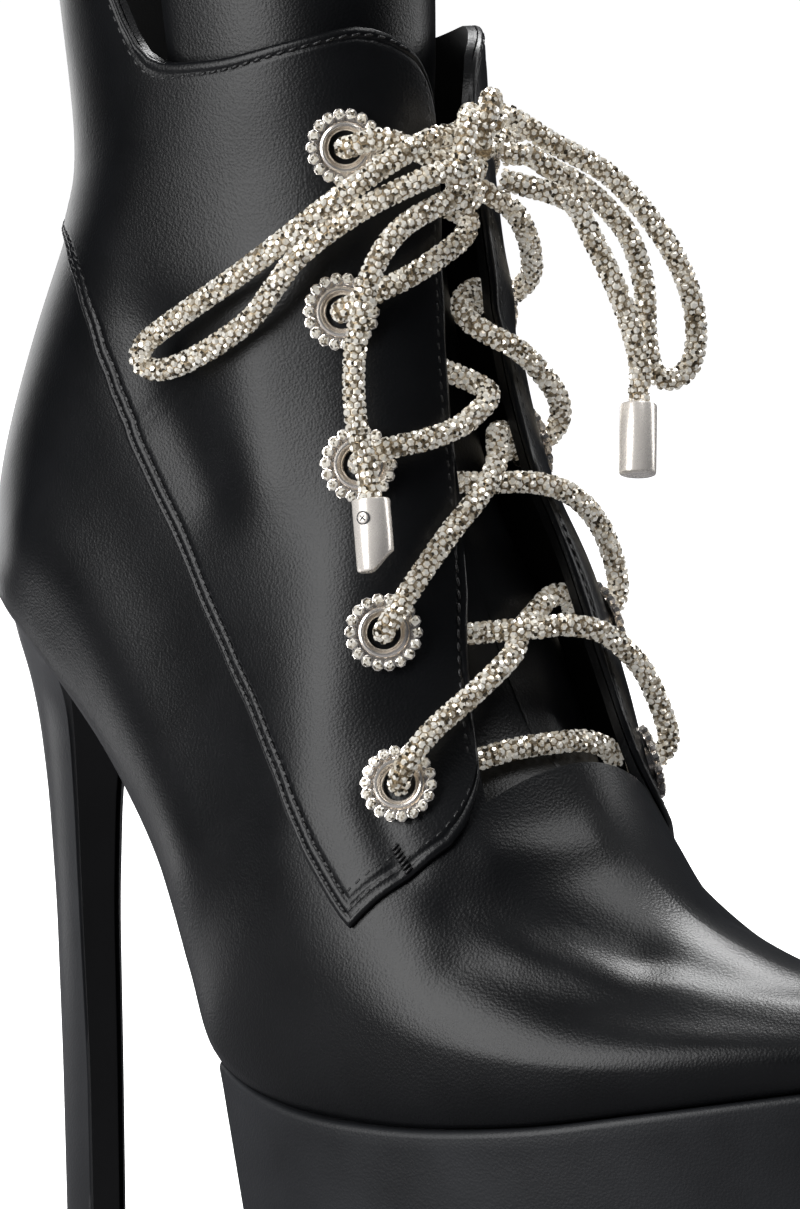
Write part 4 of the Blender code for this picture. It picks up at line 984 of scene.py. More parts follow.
def polished(name, colour, rough, metal):
    """Nickel with faint handling marks."""
    nodes, links, shader = new_material(name)
    marks = noise(nodes, links, own_space(nodes), 900.0, 5.0)
    links.new(colour_between(nodes, links, marks, scaled(colour, 0.98), colour, 0.35, 0.65),
              shader.inputs["Base Color"])
    links.new(colour_between(nodes, links, marks, (rough,) * 3, (rough * 1.12,) * 3, 0.3, 0.8),
              shader.inputs["Roughness"])
    set_sockets(shader, {"Metallic": metal})


def foiled_stone():
    """Clear foiled stone with painted glints: a random value per facet paints it dark or bright, and the facets
    glow with that colour as painted light.
    """
    nodes, links, shader = new_material("foiled_stone")
    facet = nodes.new("ShaderNodeAttribute")
    facet.attribute_name = "painted_glint"
    ramp = nodes.new("ShaderNodeValToRGB")
    while len(ramp.color_ramp.elements) < len(PAINTED_GLINT_TONES):
        ramp.color_ramp.elements.new(0.5)
    for element, (position, colour) in zip(ramp.color_ramp.elements, PAINTED_GLINT_TONES):
        element.position = position
        element.color = (*colour, 1.0)
    links.new(facet.outputs["Fac"], ramp.inputs["Fac"])
    links.new(ramp.outputs["Color"], shader.inputs["Base Color"])
    # Painted light: the facets glow with their painted glint colour
    links.new(ramp.outputs["Color"], shader.inputs["Emission Color"])
    set_sockets(shader, {"Emission Strength": 0.25, "Metallic": 0.35, "Roughness": 0.14,
                         "Coat Weight": 0.7, "Coat Roughness": 0.03})


def knitted_net(colour):
    """Metallic thread net under the stones."""
    nodes, links, shader = new_material("knitted_net")
    strands = noise(nodes, links, own_space(nodes), 2600.0, 2.0)
    links.new(colour_between(nodes, links, strands, scaled(colour, 0.55), scaled(colour, 1.5), 0.35, 0.65),
              shader.inputs["Base Color"])
    links.new(bump(nodes, links, strands, 0.5, 0.0004), shader.inputs["Normal"])
    set_sockets(shader, {"Metallic": 0.45, "Roughness": 0.38})


def twisted_thread():
    """Waxed black sewing thread."""
    nodes, links, shader = new_material("twisted_thread")
    fibres = noise(nodes, links, own_space(nodes), 3500.0, 2.0)
    links.new(colour_between(nodes, links, fibres, *THREAD_TONES, 0.3, 0.7), shader.inputs["Base Color"])
    links.new(bump(nodes, links, fibres, 0.4, 0.0002), shader.inputs["Normal"])
    set_sockets(shader, {"Roughness": 0.42})


def moulded(name, colour, rough, coat, grain_scale, specular=0.5):
    """Moulded or lacquered black surface with a faint texture."""
    nodes, links, shader = new_material(name)
    cloud = noise(nodes, links, own_space(nodes), grain_scale, 4.0)
    links.new(colour_between(nodes, links, cloud, scaled(colour, 0.8), scaled(colour, 1.3), 0.3, 0.7),
              shader.inputs["Base Color"])
    links.new(colour_between(nodes, links, cloud, (rough * 0.85,) * 3, (rough * 1.2,) * 3, 0.3, 0.7),
              shader.inputs["Roughness"])
    links.new(bump(nodes, links, cloud, 0.06, 0.0003), shader.inputs["Normal"])
    set_sockets(shader, {"Specular IOR Level": specular, "Coat Weight": coat, "Coat Roughness": 0.08})


def finishes():
    """Materials of the boot, made once."""
    if "boot_leather" not in bpy.data.materials:
        colours = bpy.context.scene.bootie_colours
        grain = bpy.context.scene.bootie_sizes.grain
        # Lit copy of the boot's leather, three times lighter: painted light on the platform and heel
        lit_copy = scaled(colours.leather, 3.0)
        grained_leather("boot_leather", tuple(colours.leather), grain, 0.32, 0.37, 0.17)
        grained_leather("platform_leather", lit_copy, grain, 0.42, 0.50, 0.14, 0.05, 0.32)
        grained_leather("heel_leather", lit_copy, grain, 0.36, 0.42, 0.12, 0.05, 0.6)
        grained_leather("lining_leather", tuple(colours.lining), grain * 0.7, 0.55, 0.68, 0.08, 0.0)
        polished("nickel", tuple(colours.nickel), 0.2, 0.8)
        polished("satin_nickel", tuple(colours.nickel), 0.26, 0.4)
        foiled_stone()
        knitted_net(tuple(colours.net))
        twisted_thread()
        moulded("tread_rubber", tuple(colours.sole), 0.5, 0.0, 700.0)
        # Lacquer of the heel breast, also the painted shade of the screw's seat and slots
        moulded("breast_lacquer", LACQUER_AND_PAINTED_SHADE, 0.18, 0.04, 120.0, 0.16)
    return bpy.data.materials


# Lace

def eyelet_axis(name, level):
    """Centre on the leather and outward axis of an eyelet."""
    _, s, lateral_t, medial_t = EYELETS[level - 1]
    side = SIDES[name]
    t = lateral_t if side == LATERAL else medial_t
    return skin(s, t, side, 0.0), last_normal(s, t, side)


def knot_join(direction, reach):
    """Two points of a lace that meets the knot squarely: at its face and a reach away from it."""
    away = unit(unit(direction) / KNOT_HALF)
    face = KNOT_CENTRE + KNOT_HALF * unit(direction) + KNOT_GAP * away
    return [face, face + reach * away]


def run_route(run):
    """Route of a lace run, out of the bore of one eyelet and into the next one or the knot."""
    def aside(centre, axis, point):
        return unit(point - centre - axis * ((point - centre) @ axis))

    start, end, places = LACE_RUNS[run]
    centre, axis = eyelet_axis(*start)
    rest = [skin(s, t, side, height) for side, s, t, height in places]
    ahead = aside(centre, axis, rest[0])
    route = [centre + up * axis + over * ahead for up, over in BORE_OUT] + rest
    if end:
        centre, axis = eyelet_axis(*end)
        before = aside(centre, axis, rest[-1])
        route += [centre + up * axis + over * before for up, over in BORE_IN]
    else:
        face, reach = knot_join(KNOT_JOINS[run][0], LEAD_REACH)
        route += [reach, face, 2 * face - reach]
    return route


def cord_route(name):
    """Route of a loop or an end of the bow."""
    joins = [knot_join(direction, CORD_REACH) for direction in KNOT_JOINS[name]]
    route = joins[0] + [np.array(point) for point in CORD_ROUTES[name]]
    if len(joins) > 1:
        route += joins[1][::-1]
    return route


def knot_routes():
    """Turns of rope round the middle of the bow."""
    lean = unit(np.array((0.0, 0.0, 1.0)) + KNOT_LEAN * PHOTO_RIGHT)
    angles = np.linspace(-KNOT_TURN, KNOT_TURN, 15) * math.pi
    routes = []
    for shift, up, high, deep in KNOT_WRAPS:
        middle = KNOT_CENTRE + shift * PHOTO_RIGHT + up * lean + KNOT_FORWARD * PHOTO_OUT
        routes.append([middle + deep * math.cos(a) * PHOTO_OUT + high * math.sin(a) * lean
                       + KNOT_PITCH * a * PHOTO_RIGHT for a in angles])
    return routes


def rope(routes, rng):
    """Net rope set with rows of stones, along each route."""
    around = bpy.context.scene.bootie_sizes.stones_around
    made = Joined()
    for places in routes:
        route = curve_through(places, STONE_PITCH)
        ahead, across, lift = (way[:, None] for way in turn_frames(route))

        def spokes(angles):
            return np.cos(angles)[..., None] * across + np.sin(angles)[..., None] * lift

        angle = np.linspace(0, 2 * math.pi, NET_SIDES, endpoint=False)
        made.add(*loft(route[:, None] + NET_RADIUS * spokes(angle[None])))
        row = np.arange(len(route))[:, None]
        turn = 2 * math.pi * (np.arange(around)[None] + 0.5 * (row % 2)) / around
        turn = turn + rng.normal(0.0, STONE_TURN, turn.shape)
        out = unit(spokes(turn) + STONE_TILT * rng.normal(0.0, 1.0, (*turn.shape, 3)))
        along = unit(ahead - out * (ahead * out).sum(-1, keepdims=True))
        cross = np.cross(out, along)
        size = 1.0 + rng.normal(0.0, STONE_SPREAD, turn.shape)[..., None, None]
        base = (route[:, None] + NET_RADIUS * spokes(turn))[..., None, :]
        k = np.arange(STONE_SIDES)
        corner = 2 * math.pi * k / STONE_SIDES
        flat = np.cos(corner)[:, None] * along[..., None, :] + np.sin(corner)[:, None] * cross[..., None, :]
        girdle = base + size * STONE_GIRDLE * flat
        table = base + size * STONE_TABLE * flat + STONE_HIGH * out[..., None, :]
        stones = np.concatenate([girdle, table], -2).reshape(-1, 3)
        number = len(stones) // (2 * STONE_SIDES)
        start = 2 * STONE_SIDES * np.arange(number)[:, None]
        after = (k + 1) % STONE_SIDES
        crown = np.stack([k, after, STONE_SIDES + after, STONE_SIDES + k], -1)
        faces = (start[..., None] + crown).reshape(-1, 4).tolist() + (start + STONE_SIDES + k).tolist()
        # Random painted glint values of crown and table facets: painted dark and bright facets
        crowns = rng.choice(CROWN_SHARES, STONE_SIDES * number, p=CROWN_ODDS)
        tables = rng.choice(TABLE_SHARES, number, p=TABLE_ODDS)
        made.add(stones, faces, 1, np.r_[crowns, tables])
    return made


def add_rope(name, routes, node, rng):
    """Rope piece that stands for a lace node."""
    materials = finishes()
    made = rope(routes, rng)
    return add_piece(name, *made.mesh(), (materials["knitted_net"], materials["foiled_stone"]),
                     "stone_lace", (node,), made.picks, 0.0, made.values)


def add_screw(made, place, axis, across):
    """Cross-head screw in a seat ring and cross slots darkened as painted shade, on the side of a cap that
    faces the photograph's camera.
    """
    out = unit(np.cross(across, axis))
    out = out if out @ PHOTO_OUT > 0 else -out
    out = math.cos(SCREW_TURN) * out - math.sin(SCREW_TURN) * across
    side = np.cross(axis, out)
    head = place + AGLET_RADIUS * out
    angle = np.linspace(0, 2 * math.pi, AGLET_SIDES // 2, endpoint=False)
    disc = np.cos(angle)[:, None] * axis + np.sin(angle)[:, None] * side
    # Pick 1 is the black lacquer: the seat ring round the head is painted shade
    for profile, pick in ((SCREW_SEAT, 1), (SCREW_HEAD, 0)):
        made.add_loft([head + r * disc + h * out for r, h in profile], pick)
    # Cross slots in the black lacquer, as painted shade
    for line in (unit(axis + side), unit(axis - side)):
        wide = np.cross(out, line)
        corners = [head + a * SLOT_LONG * line + b * SLOT_WIDE * wide
                   for a, b in ((-1, -1), (1, -1), (1, 1), (-1, 1))]
        made.add_loft([[corner + h * out for corner in corners] for h in SLOT_HEIGHTS], 1)


def add_aglet(name):
    """Nickel end cap with a turned-in mouth; the outer one has a slanted end and a screw."""
    start, end = (np.array(point) for point in AGLETS[name])
    axis = unit(end - start)
    long = np.linalg.norm(end - start)
    across = unit(PHOTO_RIGHT - axis * (PHOTO_RIGHT @ axis))
    angle = np.linspace(0, 2 * math.pi, AGLET_SIDES, endpoint=False)
    spoke = np.cos(angle)[:, None] * across + np.sin(angle)[:, None] * np.cross(axis, across)
    is_outer = name == "aglet_lateral"
    profile = [*AGLET_MOUTH, (AGLET_RADIUS, long / 2)] + [(r, long - inset) for r, inset in AGLET_END]
    rings = []
    for r, h in profile:
        slant = AGLET_CUT * smooth((np.cos(angle) * r / AGLET_RADIUS + AGLET_FLAT) / (1 + AGLET_FLAT))
        cut = slant if is_outer and h > AGLET_CUT_FROM * long else np.zeros(AGLET_SIDES)
        rings.append(start + r * spoke + (h - cut)[:, None] * axis)
    made = Joined()
    made.add_loft(rings)
    if is_outer:
        add_screw(made, start + SCREW_ALONG * long * axis, axis, across)
    materials = finishes()
    # Second material: painted shade in the screw's seat and slots
    return add_piece(name + "_cap", *made.mesh(), (materials["satin_nickel"], materials["breast_lacquer"]),
                     "metal", (name,), made.picks, 35.0)


# Stage and pieces

def way_from_target(turn, rise):
    """Direction at a turn from the photograph's camera and a rise, both in degrees."""
    a, e = PHOTO_TURN + math.radians(turn), math.radians(rise)
    return Vector((math.sin(a) * math.cos(e), -math.cos(a) * math.cos(e), math.sin(e)))


def aim(scene, name, data, way, far):
    """Camera or light at a distance from the target, looking at it."""
    item = bpy.data.objects.new(name, data)
    item.location = Vector(to_row(CAMERA_TARGET)) + far * way
    item.rotation_mode = "QUATERNION"
    item.rotation_quaternion = (-way).to_track_quat("-Z", "Y")
    scene.collection.objects.link(item)
    return item


class BOOTIE_OT_stage(bpy.types.Operator):
    """Camera at the photograph's angle, studio lights, pale floor and white surroundings"""
    bl_idname = "bootie.stage"
    bl_label = "Stage"

    def execute(self, context):
        scene = context.scene
        data = bpy.data.cameras.new("photo_camera")
        data.sensor_width = SENSOR
        data.lens = PIXELS_PER_MM * CAMERA_FAR * SENSOR / PHOTO_HIGH
        data.shift_x = (PHOTO_WIDE / 2 - TARGET_PIXEL[0]) / PHOTO_HIGH
        data.shift_y = (TARGET_PIXEL[1] - PHOTO_HIGH / 2) / PHOTO_HIGH
        data.clip_start, data.clip_end = CAMERA_CLIP
        scene.camera = aim(scene, "photo_camera", data, way_from_target(0.0, CAMERA_RISE), CAMERA_FAR * MM)
        scene.view_settings.view_transform = "Standard"
        for name, turn, rise, far, wide, high, radiance in LIGHTS:
            light = bpy.data.lights.new(name, "AREA")
            light.shape = "RECTANGLE"
            light.size, light.size_y = wide, high
            light.energy = radiance * math.pi * wide * high
            aim(scene, name, light, way_from_target(turn, rise), far)
        self.add_floor(scene)
        self.add_world(scene)
        return {"FINISHED"}

    @staticmethod
    def add_floor(scene):
        """Wide pale floor under the boot; every ray but the camera's sees a darker card with a painted pool of
        light near the boot.
        """
        line = np.linspace(-FLOOR_HALF, FLOOR_HALF, FLOOR_STEPS + 1)
        points = [(x, y, FLOOR_LEVEL) for y in line for x in line]
        mesh = bpy.data.meshes.new("studio_floor")
        mesh.from_pydata(points, [], grid_faces(FLOOR_STEPS + 1, FLOOR_STEPS + 1).tolist())
        nodes, links, shader = new_material("pale_floor")
        place = own_space(nodes)
        colour = tuple(scene.bootie_colours.floor)
        cloud = noise(nodes, links, place, 3.0)
        links.new(colour_between(nodes, links, cloud, scaled(colour, 0.98), colour),
                  shader.inputs["Base Color"])
        set_sockets(shader, {"Roughness": 0.9, "Emission Color": WHITE, "Emission Strength": FLOOR_GLOW})
        card = nodes.new("ShaderNodeBsdfDiffuse")
        away = nodes.new("ShaderNodeVectorMath")
        away.operation = "LENGTH"
        links.new(place, away.inputs[0])
        # Painted pool of light: the card is lighter near the boot and darker far off
        links.new(colour_between(nodes, links, away.outputs["Value"], FLOOR_PAINTED_POOL, FLOOR_FAR, *FLOOR_FADE),
                  card.inputs["Color"])
        mix_by_sight(nodes, links, card.outputs["BSDF"], shader.outputs["BSDF"], "Material Output")
        mesh.materials.append(bpy.data.materials["pale_floor"])
        floor = bpy.data.objects.new("studio_floor", mesh)
        scene.collection.objects.link(floor)

    @staticmethod
    def add_world(scene):
        """White surroundings for the picture, dim ones for the light."""
        world = bpy.data.worlds.new("studio")
        world.use_nodes = True
        nodes, links = world.node_tree.nodes, world.node_tree.links
        dim, white = nodes["Background"], nodes.new("ShaderNodeBackground")
        set_sockets(dim, {"Color": DIM_SKY, "Strength": DIM_LIGHT})
        set_sockets(white, {"Color": WHITE, "Strength": 1.0})
        mix_by_sight(nodes, links, dim.outputs["Background"], white.outputs["Background"], "World Output")
        scene.world = world


class BOOTIE_OT_bow(bpy.types.Operator):
    """Knot, loops, ends and end caps of the rope lace's bow"""
    bl_idname = "bootie.bow"
    bl_label = "Bow"

    def execute(self, context):
        rng = np.random.default_rng(SEED)
        knot = add_rope("rope_knot", knot_routes(), "lace_knot", rng)
        caps = {side: add_aglet("aglet_" + side) for side in SIDES}
        for side in SIDES:
            for kind in ("loop", "end"):
                node = f"lace_{kind}_{side}"
                route = cord_route(node)
                piece = add_rope(f"rope_{kind}_{side}", [route], node, rng)
                line = curve_through(route, STONE_PITCH)
        return {"FINISHED"}


class BOOTIE_OT_lacing(bpy.types.Operator):
    """Bar, crossings and turns of the rope lace through the eyelets"""
    bl_idname = "bootie.lacing"
    bl_label = "Lacing"

    def execute(self, context):
        rng = np.random.default_rng(SEED + 1)
        bar = [skin(s, t, side, height) for side, s, t, height in BOTTOM_BAR]
        add_rope("rope_bar", [bar], "lace_bar", rng)
        for name, (runs, node) in LACE_PIECES.items():
            add_rope(name, [run_route(run) for run in runs], node, rng)
        return {"FINISHED"}


class BOOTIE_OT_eyelets(bpy.types.Operator):
    """Grommets, each with its ring of claw cups and stones"""
    bl_idname = "bootie.eyelets"
    bl_label = "Eyelets"

    def execute(self, context):
        materials = finishes()
        cups = context.scene.bootie_sizes.cups
        rng = np.random.default_rng(SEED + 2)
        for name in SIDES:
            for level, *_ in EYELETS:
                made = self.eyelet(*eyelet_axis(name, level), cups, rng)
                add_piece(f"grommet_{name}_{level}", *made.mesh(),
                          (materials["nickel"], materials["foiled_stone"]), "metal",
                          (f"eyelet_{name}_{level}",), made.picks, 35.0, made.values)
        return {"FINISHED"}

    @staticmethod
    def eyelet(centre, axis, cups, rng):
        """Turned ring with cups and stones round it."""
        across = unit(np.cross(axis, (0.0, 0.0, 1.0)))
        up = np.cross(axis, across)
        angle = np.linspace(0, 2 * math.pi, GROMMET_SIDES, endpoint=False)
        spoke = np.cos(angle)[:, None] * across + np.sin(angle)[:, None] * up
        profile = np.array(GROMMET)
        ring = (centre + profile[:, :1, None] * spoke[None] + profile[:, 1:, None] * axis).reshape(-1, 3)
        wrap = grid_faces(len(profile) + 1, GROMMET_SIDES, 0, True) % len(ring)
        made = Joined()
        made.add(ring, flip_out(ring, wrap.tolist()))
        corner = 2 * math.pi * (np.arange(CUP_SIDES) + 0.5) / CUP_SIDES
        claws = np.where(np.arange(CUP_SIDES) % 2 == 0, CLAW, 0.0)[:, None]
        for turn in 2 * math.pi * np.arange(cups) / cups:
            out = math.cos(turn) * across + math.sin(turn) * up
            tilt = unit(axis + CUP_TILT * out)
            flat = (np.cos(corner)[:, None] * unit(out - tilt * (out @ tilt))
                    + np.sin(corner)[:, None] * np.cross(axis, out))
            cup, stone = ([centre + CUP_RING * out + CUP_RADIUS * r * flat + (h + claw * claws) * tilt
                           for r, h, claw in rows] for rows in (CUP_ROWS, CUP_STONE_ROWS))
            made.add_loft(cup)
            points, faces = loft(stone)
            # Random painted glint values of the cup stone's facets
            made.add(points, flip_out(points, faces), 1, rng.choice(CUP_SHARES, len(faces), p=CUP_ODDS))
        return made


class BOOTIE_OT_upper(bpy.types.Operator):
    """Vamp, counter and shaft as one wall with creases, lined inside"""
    bl_idname = "bootie.upper"
    bl_label = "Upper"

    def execute(self, context):
        wall = context.scene.bootie_sizes.wall / MM
        toe = np.r_[0.12, 0.3, 0.5, 0.75, np.arange(1.0, TOE_END + 0.01, 0.1)]
        blend = np.linspace(0.0, 1.0, 7)[1:]
        shares = np.r_[0.004, 0.012, np.linspace(0.02, 1.0, 118)]
        behind = np.r_[0.0, 0.02, 0.06, np.linspace(0.12, 1.0, 20)[:-1]]
        across = np.linspace(0.0, 1.0, 41)
        over = np.linspace(0.0, 1.0, 25)
        tip = last_point(0.0, 0.0, LATERAL) * (1, 0, 1)
        tip_inside = tip + wall * np.array(TIP_INWARD)

        def with_counter(s, t):
            return np.r_[np.full(len(behind), s[0]), s], np.r_[behind * t[0], t]

        patches = []
        for side in SIDES.values():
            rear = float(rear_seam(np.array(SEAM_LOW)))
            edge = float(read_row("edge", S_THROAT, side))
            columns = np.r_[behind * rear, rear + across * (edge - rear)]
            hem_s, hem_t = with_counter(*quarter_place(0.0, across, side))
            grid = [(np.full(len(columns), s), columns) for s in toe]
            grid += [(TOE_END + f * (hem_s - TOE_END), columns + f * (hem_t - columns)) for f in blend]
            grid += [with_counter(*quarter_place(share, across, side)) for share in shares]
            vamp = edge + over * (1 - edge)
            front = [(np.full(len(vamp), s), vamp)
                     for s in np.r_[toe, TOE_END + blend * (S_THROAT - TOE_END)]]
            for places in (grid, front):
                s, t = np.array(places).transpose(1, 0, 2)
                sheets = []
                for height, pole in ((0.0, tip), (-wall, tip_inside)):
                    sheet = skin(s, t, side, height)
                    sheets.append(np.concatenate([np.tile(pole, (1, sheet.shape[1], 1)), sheet]))
                patches.append(sheets)
        add_leather("upper_leather", patches, "upper", 50.0)
        return {"FINISHED"}


def quarter_grid(side):
    """(s, t) grid of a quarter, closer together along its edges, with its distances from the edges."""
    shares = edge_spaced(QUARTER_HIGH, 96)
    rows = [edge_spaced(float(quarter_width(share, side)), 34) for share in shares]
    places = [quarter_place(share, row, side, FLAP_CORNER) for share, row in zip(shares, rows)]
    s, t = np.array(places).transpose(1, 0, 2)
    flat = last_point(s, t, side)
    along_rows = np.linalg.norm(np.diff(flat, axis=1), axis=2)
    along_columns = np.linalg.norm(np.diff(flat, axis=0), axis=2)
    from_rear = np.c_[np.zeros(len(s)), np.cumsum(along_rows, axis=1)]
    from_hem = np.vstack([np.zeros(s.shape[1]), np.cumsum(along_columns, axis=0)])
    return {"s": s, "t": t, "across": np.array(rows), "rear": from_rear,
            "front": from_rear[:, -1:] - from_rear, "hem": from_hem, "top": from_hem[-1:] - from_hem}


def quarter_relief(grid):
    """Height of the quarter's rolled edges and stitch troughs."""
    def trough(distance, row_in):
        return -TROUGH * np.exp(-((distance - row_in) / TROUGH_WIDE) ** 2)

    nearest = np.minimum(np.minimum(grid["rear"], grid["front"]), np.minimum(grid["hem"], grid["top"]))
    start, fade = SEAM_SEWN
    has_seam = smooth((start - grid["s"]) / fade)
    sewn_hem = smooth((BAR_TACK - grid["across"]) / HEM_FADE)
    relief = -ROLL * np.clip(1 - nearest / ROLL_WIDE, 0.0, 1.0) ** 2
    corner = np.minimum(grid["rear"] + FAR_OFF * (1 - has_seam), grid["hem"] + FAR_OFF * (1 - sewn_hem))
    for row_in in REAR_ROWS_IN:
        relief = relief + trough(corner, row_in)
    free = np.minimum(np.minimum(grid["front"], grid["top"]), grid["hem"] + FAR_OFF * sewn_hem)
    return relief + trough(free, FRONT_ROW_IN)


def quarter_height(s, t, height):
    """Height above the upper, thinned where the quarters meet at the back."""
    low, rise = THIN_UP
    end, fade = THIN_ROUND
    return height * (1 - BACK_THIN * smooth((s - low) / rise) * smooth((end - t) / fade))


class BOOTIE_OT_quarters(bpy.types.Operator):
    """Overlaid quarters with rolled edges and stitched rows"""
    bl_idname = "bootie.quarters"
    bl_label = "Quarters"

    def execute(self, context):
        thick = context.scene.bootie_sizes.quarter / MM
        for name, side in SIDES.items():
            grid = quarter_grid(side)
            s, t = grid["s"], grid["t"]
            sheets = [skin(s, t, side, quarter_height(s, t, height))
                      for height in (GAP + thick + quarter_relief(grid), GAP)]
            for sheet in sheets:
                y = sheet[..., 1]
                sheet[..., 1] = np.where(side * y < GAP / 2, side * GAP / 2, y)
            add_leather(f"quarter_{name}_leather", [sheets], f"quarter_{name}", 60.0)
        return {"FINISHED"}


class BOOTIE_OT_stitching(bpy.types.Operator):
    """Sewing thread along the seams and edges of the quarters"""
    bl_idname = "bootie.stitching"
    bl_label = "Stitching"

    def execute(self, context):
        for name, side in SIDES.items():
            made = self.stitches(self.lines(side), side)
            add_piece(f"stitches_{name}", *made.mesh(), (finishes()["twisted_thread"],), "leather",
                      (), None, 60.0)
        return {"FINISHED"}

    @staticmethod
    def lines(side):
        """(s, t) places of each stitched line, and the height of its thread in the trough."""
        def line(share, across):
            return np.array(quarter_place(share, across, side, FLAP_CORNER)).T

        made = []
        far = quarter_grid(side)["hem"][-1].mean()
        for row_in in REAR_ROWS_IN:
            shares = np.linspace(row_in / far, 1.0, 400)
            shares = shares[SEAM_LOW + shares * (SEAM_HIGH - SEAM_LOW) < STITCH_END]
            made.append(line(shares, row_in / quarter_width(shares, side)))
            start = row_in / float(quarter_width(0.0, side))
            made.append(line(row_in / far, np.linspace(start, BAR_TACK, 80)))
        shares = np.linspace(*FRONT_SPAN, 300)
        made.append(line(shares, 1 - FRONT_ROW_IN / quarter_width(shares, side)))
        made.append(line(1 - FRONT_ROW_IN / far, np.linspace(*TOP_SPAN, 400)))
        made.append(line(FRONT_ROW_IN / far, np.linspace(BAR_TACK, HEM_ROW_END, 120)))
        rows = [(places, THREAD_LIFT) for places in made]
        for share in np.linspace(*TACK_SPAN, TACK_STITCHES):
            reach = STITCH_PITCH / float(quarter_width(share, side))
            across = BAR_TACK + np.linspace(-0.5, 0.5, TACK_POINTS) * reach
            rows.append((line(np.full(TACK_POINTS, share), across), TACK_LIFT))
        return rows

    @staticmethod
    def stitches(rows, side):
        """Short rounded threads, half sunk in the leather."""
        made = Joined()
        angle = 2 * math.pi * np.arange(6) / 6
        thick = bpy.context.scene.bootie_sizes.quarter / MM
        for places, lift in rows:
            s, t = places.T
            path = skin(s, t, side, quarter_height(s, t, GAP + thick - TROUGH + lift))
            along = np.r_[0.0, np.cumsum(np.linalg.norm(np.diff(path, axis=0), axis=1))]
            for middle in np.arange(STITCH_PITCH / 2, along[-1] - STITCH_PITCH / 4, STITCH_PITCH):
                start, end = (np.array([np.interp(middle + d, along, path[:, k]) for k in range(3)])
                              for d in (-STITCH_LONG / 2, STITCH_LONG / 2))
                out = last_normal(np.interp(middle, along, s), np.interp(middle, along, t), side)
                ahead = unit(end - start)
                cross = np.cross(out, ahead)
                slant = STITCH_LONG / 2 * (ahead + STITCH_SLANT * cross)
                spoke = np.cos(angle)[:, None] * cross + np.sin(angle)[:, None] * out
                made.add_loft([(start + end) / 2 + x * slant + h * out + r * spoke for x, r, h in THREAD])
        return made


class BOOTIE_OT_tongue(bpy.types.Operator):
    """Padded tongue behind the lacing"""
    bl_idname = "bootie.tongue"
    bl_label = "Tongue"

    def execute(self, context):
        s = np.linspace(TONGUE_ROWS[0, 0], TONGUE_ROWS[-1, 0], 90)[:, None]
        edge = np.interp(s, TONGUE_ROWS[:, 0], TONGUE_ROWS[:, 1])
        depth = np.mean([np.interp(s + d, TONGUE_ROWS[:, 0], TONGUE_ROWS[:, 2])
                         for d in np.linspace(-TONGUE_SOFT, TONGUE_SOFT, 7)], axis=0)
        columns = np.r_[0.0, 0.02, TONGUE_RIM, np.linspace(0.09, 1.0, 20)]
        low, rise = TONGUE_TOP
        sheets = []
        for extra, roll in ((0.0, 0.8), (TONGUE, -0.6)):
            halves = []
            for side, shares in ((LATERAL, columns), (MEDIAL, columns[-2::-1])):
                t = edge + shares[None] * (1 - edge)
                level = np.broadcast_to(s, t.shape)
                rim = np.clip(1 - shares / TONGUE_RIM, 0.0, 1.0)[None] ** 2
                top = np.clip((s - low) / rise, 0.0, 1.0) ** 2
                down = depth + extra + roll * np.maximum(rim, top)
                halves.append(last_point(level, t, side) - down[..., None] * last_normal(level, t, side))
            sheets.append(np.concatenate(halves, axis=1))
        piece = add_leather("tongue_leather", [sheets], "tongue", 50.0)
        return {"FINISHED"}


def sole_edges(rows, outset):
    """Lateral and medial sole edge lines, moved out in plan."""
    lines = []
    for side in (LATERAL, MEDIAL):
        line = last_point(rows, np.zeros(len(rows)), side)
        ahead = unit(np.gradient(line[:, :2], axis=0))
        line[:, :2] += outset * side * np.c_[-ahead[:, 1], ahead[:, 0]]
        lines.append(line)
    return lines


def sole_bottom(x):
    """Height of the tread's face: flat under the ball, rising to the toe."""
    return TOE_SPRING * np.clip((x - SPRING_START) / (LENGTH - SPRING_START), 0.0, 1.0) ** SPRING_POWER


def platform_rows():
    """Rows of the platform from its back to the toe tip, with the share of its undercut at each."""
    rows = np.r_[np.linspace(PLATFORM_END, 1.0, 90), 0.8, 0.6, 0.45, 0.3, 0.2, 0.1, 0.0]
    return rows, smooth((rows - UNDERCUT_START) / (PLATFORM_END - UNDERCUT_START))


